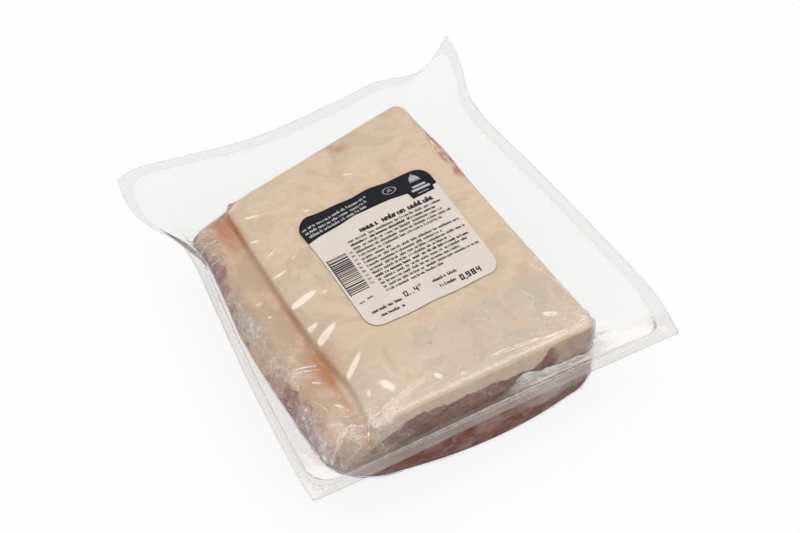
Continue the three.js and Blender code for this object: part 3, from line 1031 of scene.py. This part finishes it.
def flesh_notes(rows, over):
    """Where the meat is lean, stained, pink, pale or dull, and where the strip is tan (partly
    painted shade), as values from 0 to 1.
    """
    x, y, z = axes(rows)
    below = smooth((30 - z) / 3)
    groove = bell(x + 61.3 - 0.8 * hills(y, 6, 63), 1.7)
    groove = groove * smooth((z - 33) / 2) * smooth((45 - z) / 2)
    patchy = smooth((hills(y, 19, 61) - 0.3) / 0.35)
    orange = np.maximum(
        bell(np.hypot((x + 65.4) / 1.3, (y - 61) / 3.2), 4.3) * smooth((-59.6 - x) / 1.2)
        * smooth((z - 31) / 4),
        0.85 * bell(np.hypot((x + 61.5) / 1.6, (y + 36) / 2.4), 4.5),
    )
    right_end = smooth((x - 36) / 5) * smooth((-76 - y) / 3) * smooth((z - 29) / 2)
    right_end = right_end * (1 - 0.3 * smooth((x - 46.5 + 1.5 * hills(z, 3, 69)) / 2)
                             * smooth((60 - x) / 2) * smooth((46 - z) / 2))
    left_end = bell(np.hypot(x + 67, y + 82), 14) * mix(0.35, 1, smooth((z - 26) / 4))
    rim = 61.5 - 0.087 * (y + 79.5)
    sliver = smooth((x - rim + 0.9 + 1.6 * hills(y, 3, 67)) / 0.8)
    sliver = sliver * smooth((20 - np.abs(y - 46)) / 4) * smooth((z - 43.5) / 1.5)
    back_spot = bell(np.hypot((x - 5) / 2.2, (y - 76) / 1.1), 2.4)
    strip_spot = bell(np.hypot((x + 79) / 3.2, (y + 52) / 13), 1) * smooth((z - 30) / 2)
    return {
        "lean": np.clip(0.5 + over / 0.4, 0, 1),
        "stain": np.clip(0.6 * groove * mix(0.3, 1, patchy) + 1.1 * orange, 0, 1),
        "blood": np.clip(0.8 * back_spot + 0.85 * sliver + 0.55 * strip_spot, 0, 1),
        # Tan on the strip left of the groove: partly thinner fat, partly painted shade.
        "tan": 0.8 * smooth((-58 - x) / 4) * smooth((47 - z) / 3),
        "grey": smooth((-38 - y) / 8) * smooth((y + 78) / 6) * smooth((x + 34) / 18),
        "brown": below * mix(0.7, 1, cloud(x, y + z, 16, 51)),
        "pink": np.clip(
            smooth((-71 - x) / 6) * smooth((z - 27) / 2) * mix(1, 0.55, smooth((-y - 30) / 12))
            + 0.45 * below * smooth((cloud(x, z * 2, 14, 57) - 0.62) / 0.12), 0, 1),
        "pale": np.clip(right_end + 0.9 * left_end, 0, 1),
    }


def fat_ends():
    """The level at which the fat ends, for every column."""
    ends = PACK.walk.along_sides(FAT_ENDS)[:, 0]
    x, y = PACK.foot[:, 0], PACK.foot[:, 1]
    left = smooth((-70 - x) / 6)
    ragged = 0.05 * (cloud(x, y, 6, 81) - 0.5) + 0.03 * (cloud(x, y, 2.2, 83) - 0.5)
    return ends + ragged * (1 + left)


class PACK_OT_loin(bpy.types.Operator):
    """Builds the loin: lean meat and the fat that covers it"""

    bl_idname = "pack.loin"
    bl_label = "Loin"

    def execute(self, context):
        meat = settings("loin_settings")
        gap, depth = meat.under_film / MILLIMETRE, meat.fat_depth / MILLIMETRE
        ends = fat_ends()
        self.lean(meat, gap, depth, ends)
        self.fat(meat, gap, depth, ends)
        return {"FINISHED"}

    def lean(self, meat, gap, depth, ends):
        levels = spans((0, 0.9, 24), (0.9, 1.985, 66))
        wanted = np.repeat(levels[:, None], PACK.top.shape[1], axis=1)
        upper = columns_of(PACK.top, PACK.levels, wanted)
        normal = columns_of(PACK.top_normals, PACK.levels, wanted)
        sunk = gap + 0.1 + (depth + 0.3) * smooth((ends - wanted) / 0.12)
        under = PACK.low[1:] - PACK.low_normals[1:] * (gap + 0.1)
        rows = np.concatenate([upper - normal * sunk[..., None], under])
        rows[..., 2] = np.maximum(rows[..., 2], gap)
        over = np.concatenate([wanted - ends, np.ones(under.shape[:2])])
        self.body("lean_meat", rows, over, meat, 0.4, 0.5, "lean")

    def fat(self, meat, gap, depth, ends):
        outer = spans((0, 0.86, 30), (0.86, 1, 34))
        inner = spans((1, 0.9, 9), (0.9, 0, 15))[1:]
        share = np.concatenate([outer, inner])[:, None]
        wanted = share * ends
        rows = columns_of(PACK.top, PACK.levels, wanted)
        normal = columns_of(PACK.top_normals, PACK.levels, wanted)
        left = ends - wanted
        sunk = gap + 0.3 * smooth((0.04 - left) / 0.04)
        buried = np.maximum(gap + 0.35 + depth * smooth(left / 0.12), sunk)
        sunk[len(outer):] = buried[len(outer):]
        self.body("fat_cap", rows - normal * sunk[..., None], -left, meat, 0.42, 0.25, "fat")

    def body(self, name, rows, over, meat, roughness, roughening, slot):
        rows = capped(rows)
        look = flesh_finish(meat, name.replace("_", " "), roughness, roughening)
        hand_over(closed_body(name, rows, flesh_notes(rows, over)), look, "sealed_pack")


# Where the top film's rows lie from the seal's inner line, 1, to the cut edge, 2.
SEAL_SHARES = [1, 1.03, 1.06, 1.1, 1.15, 1.2, 1.25, 1.3, 1.36, 1.43, 1.5, 1.56, 1.62, 1.68,
               1.75, 1.82, 1.9, 1.95, 2]


class PACK_OT_films(bpy.types.Operator):
    """Builds the two clear films, with their sealed border"""

    bl_idname = "pack.films"
    bl_label = "Films"

    def execute(self, context):
        film = settings("film_settings")
        wall = film.thickness / MILLIMETRE
        self.top_film(film, wall)
        self.bottom_film(film, wall)
        return {"FINISHED"}

    def border_rows(self, shares, drop=0.0):
        return np.array([PACK.border(share) for share in shares]) - [0, 0, drop]

    def border_notes(self, film, shares, rows):
        """Ridges of the seal as relief, crease and shade, and the veil of the border. The dark
        lines along the seal, round the front left corner's rings and at the cut edge are painted
        shade, and the bright line beside the seal is a painted highlight. Both stand in for the
        film's edge reflections.
        """
        width = np.linalg.norm(PACK.edge[:, :2] - PACK.seal, axis=1)
        shares = np.asarray(shares)[:, None]
        outside = (shares - 1) * width[None]
        x, y = rows[..., 0], rows[..., 1]
        left = smooth((-62 - x) / 22) * smooth((84 - y) / 22)
        near = np.clip(left + smooth((-76 - y) / 8), 0, 1)
        strength = 0.15 + 0.85 * near
        # A painted dark line at the seal's inner edge, with a painted bright line beside it.
        dark, bright = bell(outside + 0.1, 0.32), bell(outside - 0.75, 0.4)
        second = 0.6 * bell(outside - 2.3, 0.35)
        corner = bell(np.hypot(x + 93, y + 89), 16)
        rings = corner * (bell(outside - 3.4, 0.35) + bell(outside - 5.2, 0.4))
        # A painted dark line along the cut edge.
        rim = bell((2 - shares) * width[None], 0.4)
        relief = 0.35 * strength * (bright + second) + 0.3 * rings
        crease = strength * (0.9 * dark + 0.9 * bright + 0.5 * second) + 0.6 * rings + 0.4 * rim
        shade = 0.42 + near * (0.9 * dark - 0.3 * bright) + 0.4 * rings + 0.5 * rim
        sealed = smooth(outside / 0.6)
        veil = film.seal_veil * mix(0.05 + 0.75 * near, 0.6 + 0.4 * near, sealed)
        return relief, np.clip(crease, 0, 1), np.clip(shade, 0, 1), veil

    def top_film(self, film, wall):
        levels = spans((0, 0.62, 12), (0.62, 1.0, 34), (1.0, 2, 66))[:-1]
        wanted = np.repeat(levels[:, None], PACK.top.shape[1], axis=1)
        cover = columns_of(PACK.top, PACK.levels, wanted)
        shares = np.array([*np.linspace(0, 0.9, 12), 0.94, 0.97, *SEAL_SHARES])
        border = self.border_rows(shares)
        relief, crease = film_relief(cover)
        edge_relief, edge_crease = film_relief(border)
        seal_relief, seal_crease, seal_shade, seal_veil = self.border_notes(film, shares, border)
        fade = smooth(1 - shares)[:, None]
        relief = np.concatenate([relief, edge_relief * fade + seal_relief])
        crease = np.concatenate([crease, np.clip(edge_crease * fade + seal_crease, 0, 1)])
        rows = np.concatenate([cover, border])
        veil = film_veil_and_glare(*axes(rows))
        # On the border, the veil carries the painted reflection on the front fold. The seal's
        # painted dark lines are lifted where it lies.
        pale = veil[len(cover):] * smooth(1.2 - shares[:, None])
        veil[len(cover):] = np.maximum(pale, seal_veil)
        seal_shade = seal_shade * (1 - np.clip(pale / 0.6, 0, 1))
        outer_strip = smooth((-73 - cover[..., 0]) / 5) * smooth((cover[..., 1] + 45) / 25)
        normal = normals_of(rows)
        self.skin("top_film", rows + normal * relief[..., None], normal, wall, 3, {
            "crease": (crease, 0.3),
            "veil": (veil, 0),
            "dapple": (np.concatenate([0.4 * outer_strip, 0 * seal_shade]), 1),
            "shade": (np.concatenate([0 * outer_strip, seal_shade]), 1),
        }, film_finish(film, "clear top film", 42, 0.42, 0.5, film.mirror, PILLOWS, CREASE_AND_GLINT_LINES))

    def bottom_film(self, film, wall):
        shares = [0, *np.linspace(0.08, 0.92, 9), 1, 1.06, 1.12, 1.2, 1.3, 1.45, 1.6, 1.8, 2]
        under = self.border_rows(shares, wall + 0.06)
        seal_relief, seal_crease, _, _ = self.border_notes(film, shares, under)
        under[..., 2] += seal_relief
        below = PACK.low[1:]
        x, y, z = axes(below)
        side = smooth(z / 3) * smooth((28 - z) / 3)
        flat = ridges(x + y * 0.3, z * 2.4, 13, 91, 3)
        fine = ridges(x * 1.3, z * 1.5 + y * 0.5, 5, 93, 4)
        fold = side * (0.5 * flat + 0.35 * fine)
        below = below + PACK.low_normals[1:] * fold[..., None]
        rows = np.concatenate([under[::-1], below])
        folded = np.clip(side * (0.5 * flat + 0.4 * fine), 0, 1)
        crease = np.concatenate([seal_crease[::-1], folded])
        self.skin("bottom_film", rows[::-1], normals_of(rows)[::-1], wall, 2, {
            "crease": (crease[::-1], 1),
            # The bottom film's veil is painted glare.
            "veil": (self.glare(rows[::-1]), 0),
        }, film_finish(film, "clear bottom film", 60, 0.10, 0.10, 0.3 * film.mirror))

    def glare(self, rows):
        """Painted glare: pale patches on the film under the border, by the front right corner,
        standing in for highlights on its folds.
        """
        x, y, z = axes(rows)
        patchy = smooth((cloud(x + z, z * 2.5, 9, 95) - 0.25) / 0.4)
        near = bell(np.hypot((x - 36) / 3.2, (z - 19) / 1.1), 6)
        return 0.42 * near * patchy * smooth((-70 - y) / 5)

    def skin(self, name, outer, normal, wall, every, notes, look):
        """Closes a film, from its outer face and every few of its rows again as inner face.

        Each note is the outer face's values and the share of them that the inner face has.
        """
        pick = np.unique([*range(0, len(outer), every), len(outer) - 1])[::-1]
        inner = outer[pick] - normal[pick] * wall
        notes = {
            note: np.concatenate([values, share * values[pick]])
            for note, (values, share) in notes.items()
        }
        hand_over(closed_body(name, capped(outer, inner), notes), look, "sealed_pack")


# The edge of the label's dark band: [across, along], in millimetres from its middle.
BAND_EDGE = [[-36.5, 22.4], [-30, 23.9], [-18.5, 25], [-9, 26.7], [2.3, 26.4], [11.6, 26.4],
             [20.4, 25.2], [20.6, 20.6], [33.6, 21.2], [33.8, 23.9], [36.5, 24.2]]


# The middle of the label on the slab, and how high each layer of it lies above the pack's top.
LABEL_MIDDLE = (2.4, 6.0)
PAPER_LIFT, BAND_LIFT, PRINT_LIFT, BAND_PRINT_LIFT = 0.2, 0.4, 0.38, 0.45
PAPER_THICK, INK_THICK = 0.16, 0.03
BAND_PRINT_COLOUR = (0.42, 0.41, 0.42)

# Lines of bars that stand for lettering: [across, along, end, size, weight].
TITLE_LINE = (-12, 15.7, 28.5, 3.5, 0.95)
TEXT_LINE_ENDS = [31, 27, 30, 33, 27, -4, 33, 22, 34, 24, 33, 30, 25, 34, 12]
HEAVY_TEXT_LINES = (1, 10)
FRONT_LINES = [
    (-31.5, -29.4, -16, 2.1, 0.5), (-28.5, -33.2, -17, 2.1, 0.5), (2.8, -28.2, 15, 2.0, 0.46),
    (4.6, -32.4, 12.2, 2.0, 0.52), (-33.6, -21.4, -31.8, 1.4, 0.3),
    (-29.2, -20.6, -26.5, 1.4, 0.3),
]

# Plain numbers: text, across, along, width, height and weight of each figure.
NUMBERS = [
    ("0", -13, -28.8, 2.1, 3.2, 0.66), ("4", -7.2, -28.8, 2.1, 3.2, 0.66),
    ("0", 15.4, -34.2, 2.2, 3.5, 0.8), ("984", 18.9, -34.2, 2.2, 3.5, 0.8),
]

# Single marks: [across, along, width, height]. Two dots, a small open square and a comma.
SMALL_MARKS = [
    (-10.3, -28.8, 0.7, 0.7), (-8.7, -28.8, 0.7, 0.7), (-4.4, -26.6, 1.3, 0.3),
    (-4.4, -25.7, 1.3, 0.3), (-4.4, -26.6, 0.3, 1.2), (-3.4, -26.6, 0.3, 1.2),
    (17.9, -34.9, 0.6, 1.2),
]

# On the band: two bars inside the ring, then a plain dome over bars.
RING_MIDDLE, RING_REACH = (13.4, 31.6), (3.4, 2.1)
BAND_MARKS = [
    (12, 31.2, 2.8, 0.35), (12.4, 32.2, 2, 0.35),
    (25.1, 31.4, 5.4, 1.3), (25.6, 32.9, 4.4, 0.8), (26.4, 33.8, 2.8, 0.7),
    (27.4, 34.8, 0.9, 0.7), (24.6, 30.6, 6.4, 0.4), (24.2, 26.6, 7.4, 1.3),
    (22.8, 24.4, 10.2, 1.4), (25, 22.4, 6, 0.4),
]


def label_place(u, v, label):
    """Bends a flat place on the label, in millimetres, round its corners and wavy edges."""
    half_w, half_l, r = half_sizes(label)
    a = np.clip((np.abs(u) - (half_w - r)) / r, 0, 1)
    b = np.clip((np.abs(v) - (half_l - r)) / r, 0, 1)
    across = np.where(a > 0, (half_w - r) + r * a * np.sqrt(1 - b * b / 2), np.abs(u))
    along = np.where(b > 0, (half_l - r) + r * b * np.sqrt(1 - a * a / 2), np.abs(v))
    x, y = np.sign(u) * across, np.sign(v) * along
    back = smooth((v - half_l + 16) / 16)
    front = smooth((-v - half_l + 10) / 10)
    inside = smooth((half_w - np.abs(u)) / 8)
    x = x - 1.5 * bell(v - 31, 13) * smooth((-u - half_w + 12) / 12)
    y = y + back * inside * (0.4 * np.sin(u / 6.2 + 0.8) + 0.3 * np.sin(u / 3.1))
    y = y + front * inside * 0.25 * np.sin(u / 4.4 + 2.2)
    c, s = math.cos(label.turned), math.sin(label.turned)
    return LABEL_MIDDLE[0] + x * c - y * s, LABEL_MIDDLE[1] + x * s + y * c


def half_sizes(label):
    """Half the label's width and length, and its corner radius, in millimetres."""
    return tuple(size / MILLIMETRE for size in (label.width / 2, label.length / 2, label.corner))


def laid(x, y, lift):
    """Places in the frame that lie on the slab, some way above the pack's top."""
    return in_frame(np.column_stack([x, y, top_height(x, y) + lift]))


class PACK_OT_label(bpy.types.Operator):
    """Builds the paper label, its dark band and its print of plain bars"""

    bl_idname = "pack.label"
    bl_label = "Label"

    def execute(self, context):
        label = settings("label_settings")
        front, notch = -half_sizes(label)[1], np.array(BAND_EDGE).T
        paper = self.sheet("label_paper", 72, 72, PAPER_LIFT, PAPER_THICK, lambda u: front, label)
        hand_over(paper, paper_finish(label), "label")
        band = self.sheet("label_band", 150, 26, BAND_LIFT, INK_THICK,
                          lambda u: np.interp(u, *notch), label)
        look = ink_finish("dark band", tuple(label.band_colour), 0.38)
        hand_over(band, look, "label")
        rng = random.Random(4)
        for name, marks, colour, lift in (
            ("label_print", self.dark_marks(rng), tuple(label.ink_colour), PRINT_LIFT),
            ("label_band_print", self.light_marks(rng), BAND_PRINT_COLOUR, BAND_PRINT_LIFT),
        ):
            look = ink_finish(name.replace("_", " "), colour, 0.5)
            hand_over(self.bars(name, marks, lift, label), look, "label")
        return {"FINISHED"}

    def sheet(self, name, across, along, lift, thick, front_edge, label):
        """A thin closed sheet laid on the pack, from a front edge to the label's back edge."""
        half_w, half_l, _ = half_sizes(label)
        sheet, s, t = grid(name, across, along)
        u = mix(-half_w, half_w, s)
        x, y = label_place(u, mix(front_edge(u), half_l, t), label)
        sheet.data.vertices.foreach_set("co", laid(x, y, lift).ravel())
        self.thicken(sheet, thick)
        return sheet

    def thicken(self, sheet, thick):
        wall = sheet.modifiers.new("Thickness", "SOLIDIFY")
        wall.thickness = thick * MILLIMETRE
        wall.offset = 1
        wall.use_even_offset = False
        bpy.context.view_layer.objects.active = sheet
        bpy.ops.object.modifier_apply(modifier=wall.name)

    def bars(self, name, marks, lift, label):
        """All printed marks of one colour: small flat bars, each [u, v, width, height]."""
        print_ = grid(name, 1, 1)[0]
        corners, faces = [], []
        for u, v, wide, high in marks:
            steps = max(1, int(wide / 4))
            for step in range(steps):
                left, right = u + wide * step / steps, u + wide * (step + 1) / steps
                faces.append(list(range(len(corners), len(corners) + 4)))
                corners += [(left, v), (right, v), (right, v + high), (left, v + high)]
        x, y = label_place(*np.array(corners).T, label)
        print_.data.clear_geometry()
        print_.data.from_pydata(laid(x, y, lift).tolist(), [], faces)
        print_.data.update()
        self.thicken(print_, INK_THICK)
        return print_

    def line(self, rng, u, v, end, size, weight, drift=0.0):
        """A run of short upright strokes in word-like groups."""
        marks = []
        start = u
        while u < end:
            for _ in range(rng.randint(2, 9)):
                if u > end:
                    break
                tall = size * rng.choice([0.62, 0.62, 0.68, 0.95])
                base = v + drift * (u - start)
                marks.append((u, base, weight, tall))
                if rng.random() < 0.85:
                    level = rng.choice([0.0, 0.5, 1.0]) * (0.62 * size - weight * 0.8)
                    marks.append((u, base + level, size * 0.42, weight * 0.85))
                if rng.random() < 0.8:
                    marks.append((u + size * 0.36, base, weight, size * 0.6))
                u += size * 0.62
            u += size * 0.5
        return marks

    def dark_marks(self, rng):
        """The title, the text, a bar code, short lines and plain numbers."""
        marks = self.line(rng, *TITLE_LINE)
        for row, end in enumerate(TEXT_LINE_ENDS):
            weight = 0.52 if row in HEAVY_TEXT_LINES else 0.4
            marks += self.line(rng, -20.5 + 0.12 * row, 13 - 2.45 * row, end, 1.75, weight)
        v, code_end = 8.8, -14.6
        while v > code_end:
            thick = rng.choice([0.28, 0.3, 0.55, 0.6, 0.9])
            marks.append((-35.0, v - thick, 10.4, thick))
            v -= thick + rng.choice([0.3, 0.35, 0.5, 0.7])
        marks.append((-35.3, -15.2, 0.5, 24.2))
        for row in range(9):
            marks += self.line(rng, -23.2, 7.2 - 2.6 * row, -21.9, 1.5, 0.3)
        for line in FRONT_LINES:
            marks += self.line(rng, *line)
        for number in NUMBERS:
            marks += figures(*number)
        return marks + SMALL_MARKS

    def light_marks(self, rng):
        """Three lines of text on the band, a small ring, and a dome over bars."""
        marks = []
        for row in range(3):
            marks += self.line(
                rng, -35.2 + 0.6 * row, 30.2 - 2.5 * row, 1 - row, 1.8, 0.38, 0.09)
        for turn in np.arange(20) * math.pi / 10:
            marks.append((RING_MIDDLE[0] + RING_REACH[0] * math.cos(turn) - 0.45,
                          RING_MIDDLE[1] + RING_REACH[1] * math.sin(turn), 0.9, 0.3))
        return marks + BAND_MARKS


# The gap between two figures, and which of a seven-bar figure's bars each numeral uses.
FIGURE_GAP = 0.75
FIGURE_BARS = {"0": "abcdef", "4": "bcfg", "8": "abcdefg", "9": "abcdfg"}


def figures(text, u, v, wide, high, weight):
    """Plain seven-bar numerals."""
    marks = []
    half = high / 2
    for numeral in text:
        right = u + wide - weight
        bars = {
            "a": (u, v + high - weight, wide, weight), "b": (right, v + half, weight, half),
            "c": (right, v, weight, half), "d": (u, v, wide, weight),
            "e": (u, v, weight, half), "f": (u, v + half, weight, half),
            "g": (u, v + half - weight / 2, wide, weight),
        }
        marks += [bars[bar] for bar in FIGURE_BARS[numeral]]
        u += wide + FIGURE_GAP
    return marks


# The camera of the photo: turned to the left, tilted down, where it stands, and its lens.
CAMERA_TURN, CAMERA_TILT = math.radians(29), math.radians(53)
CAMERA_PLACE = (-0.28928, -0.53462, 0.82013)
CAMERA_LENS, CAMERA_SENSOR = 90, 36

FLOOR_RADIUS = 3
ROOM_TINT = (1.0, 0.995, 0.985, 1)

# Soft lamps: name, direction from the pack, distance, width and height, share of the power,
# and whether the film mirrors it.
LAMPS = [
    ("soft lamp back left", (-0.34, 0.53, 0.78), 1.15, 0.50, 0.40, 0.42, False),
    ("soft lamp front right", (0.52, -0.44, 0.73), 1.15, 0.50, 0.35, 0.52, False),
    ("long lamp overhead", (0.0, 0.2, 0.98), 1.1, 1.7, 0.3, 1.38, True),
]


def facing(way, place):
    """A placing that looks against a direction, with its own X level."""
    side = np.cross([0, 0, 1], way)
    side /= np.linalg.norm(side)
    columns = np.column_stack([side, np.cross(way, side), way, place])
    return Matrix([*columns.tolist(), [0, 0, 0, 1]])


class PACK_OT_stage(bpy.types.Operator):
    """Builds the plain floor, the soft lamps, the room light and the camera"""

    bl_idname = "pack.stage"
    bl_label = "Stage"

    def execute(self, context):
        studio = settings("studio_settings")
        self.floor(studio)
        for name, direction, distance, wide, high, share, mirrored in LAMPS:
            lamp = self.lamp(name, direction, distance, wide, high, studio.lamp_power * share)
            lamp.visible_glossy = mirrored
        self.room(studio)
        self.camera()
        context.scene.view_settings.view_transform = "Standard"
        return {"FINISHED"}

    def floor(self, studio):
        bpy.ops.object.select_all(action="DESELECT")
        bpy.ops.mesh.primitive_circle_add(vertices=96, radius=FLOOR_RADIUS, fill_type="NGON")
        floor = bpy.context.object
        floor.name = "floor"
        f = new_finish("pale floor")
        tone = f.spread(f.noise(3, 2), 0.3, 0.7, 0.99, 1.0)
        colour = f.blend(tone, (0.78, 0.78, 0.78), studio.floor_colour)
        lit = f.node("ShaderNodeBsdfDiffuse", {"Color": colour}).outputs[0]
        glow = f.node("ShaderNodeEmission", {"Color": (1, 1, 1, 1), "Strength": 1.02}).outputs[0]
        seen = f.node("ShaderNodeLightPath").outputs["Is Camera Ray"]
        floor.data.materials.append(f.finish(f.mix_shaders(f.times(seen, 0.85), lit, glow)))

    def lamp(self, name, direction, distance, wide, high, power):
        way = np.array(direction) / np.linalg.norm(direction)
        bpy.ops.object.light_add(type="AREA", location=tuple(way * distance))
        lamp = bpy.context.object
        lamp.name = name
        lamp.data.shape = "RECTANGLE"
        lamp.data.size, lamp.data.size_y = wide, high
        lamp.data.energy = power
        lamp.matrix_world = facing(way, way * distance)
        return lamp

    def room(self, studio):
        world = bpy.data.worlds.new("room")
        bpy.context.scene.world = world
        f = Finish(world)
        way = f.node("ShaderNodeTexCoord").outputs["Generated"]
        strength = f.node("ShaderNodeMapRange", {
            "Value": f.node("ShaderNodeSeparateXYZ", {0: way}).outputs["Z"],
            "From Min": 0.0, "From Max": 0.9,
            "To Min": 0.7 * studio.room_light, "To Max": studio.room_light,
        }).outputs["Result"]
        light = f.node("ShaderNodeBackground", {"Color": ROOM_TINT, "Strength": strength})
        f.node("ShaderNodeOutputWorld", {"Surface": light.outputs[0]})

    def camera(self):
        bpy.ops.object.camera_add()
        camera = bpy.context.object
        camera.name = "camera"
        camera.data.lens, camera.data.sensor_width = CAMERA_LENS, CAMERA_SENSOR
        camera.data.clip_start = 0.05
        level = math.cos(CAMERA_TILT)
        way = [-math.sin(CAMERA_TURN) * level, -math.cos(CAMERA_TURN) * level,
               math.sin(CAMERA_TILT)]
        camera.matrix_world = facing(way, CAMERA_PLACE)
        bpy.context.scene.camera = camera


class PACK_PT_panel(bpy.types.Panel):
    """Lists the steps that build the pack"""

    bl_idname = "PACK_PT_panel"
    bl_label = "Loin Pack"
    bl_space_type = "VIEW_3D"
    bl_region_type = "UI"
    bl_category = "Loin Pack"

    def draw(self, context):
        for group, step in GROUPS:
            box = self.layout.box()
            for name in getattr(context.scene, group).__annotations__:
                box.prop(getattr(context.scene, group), name)
            box.operator(step)


GROUPS = [
    ("loin_settings", "pack.loin"),
    ("film_settings", "pack.films"),
    ("label_settings", "pack.label"),
    ("studio_settings", "pack.stage"),
]
SETTINGS = [LoinSettings, FilmSettings, LabelSettings, StudioSettings]
CLASSES = [*SETTINGS, PACK_OT_loin, PACK_OT_films, PACK_OT_label, PACK_OT_stage, PACK_PT_panel]


def register():
    for cls in CLASSES:
        bpy.utils.register_class(cls)
    for (group, _), cls in zip(GROUPS, SETTINGS):
        setattr(bpy.types.Scene, group, bpy.props.PointerProperty(type=cls))


def unregister():
    for group, _ in GROUPS:
        delattr(bpy.types.Scene, group)
    for cls in reversed(CLASSES):
        bpy.utils.unregister_class(cls)


def main():
    register()
    bpy.ops.pack.loin()
    bpy.ops.pack.films()
    bpy.ops.pack.label()
    bpy.ops.pack.stage()


if __name__ == "__main__":
    main()
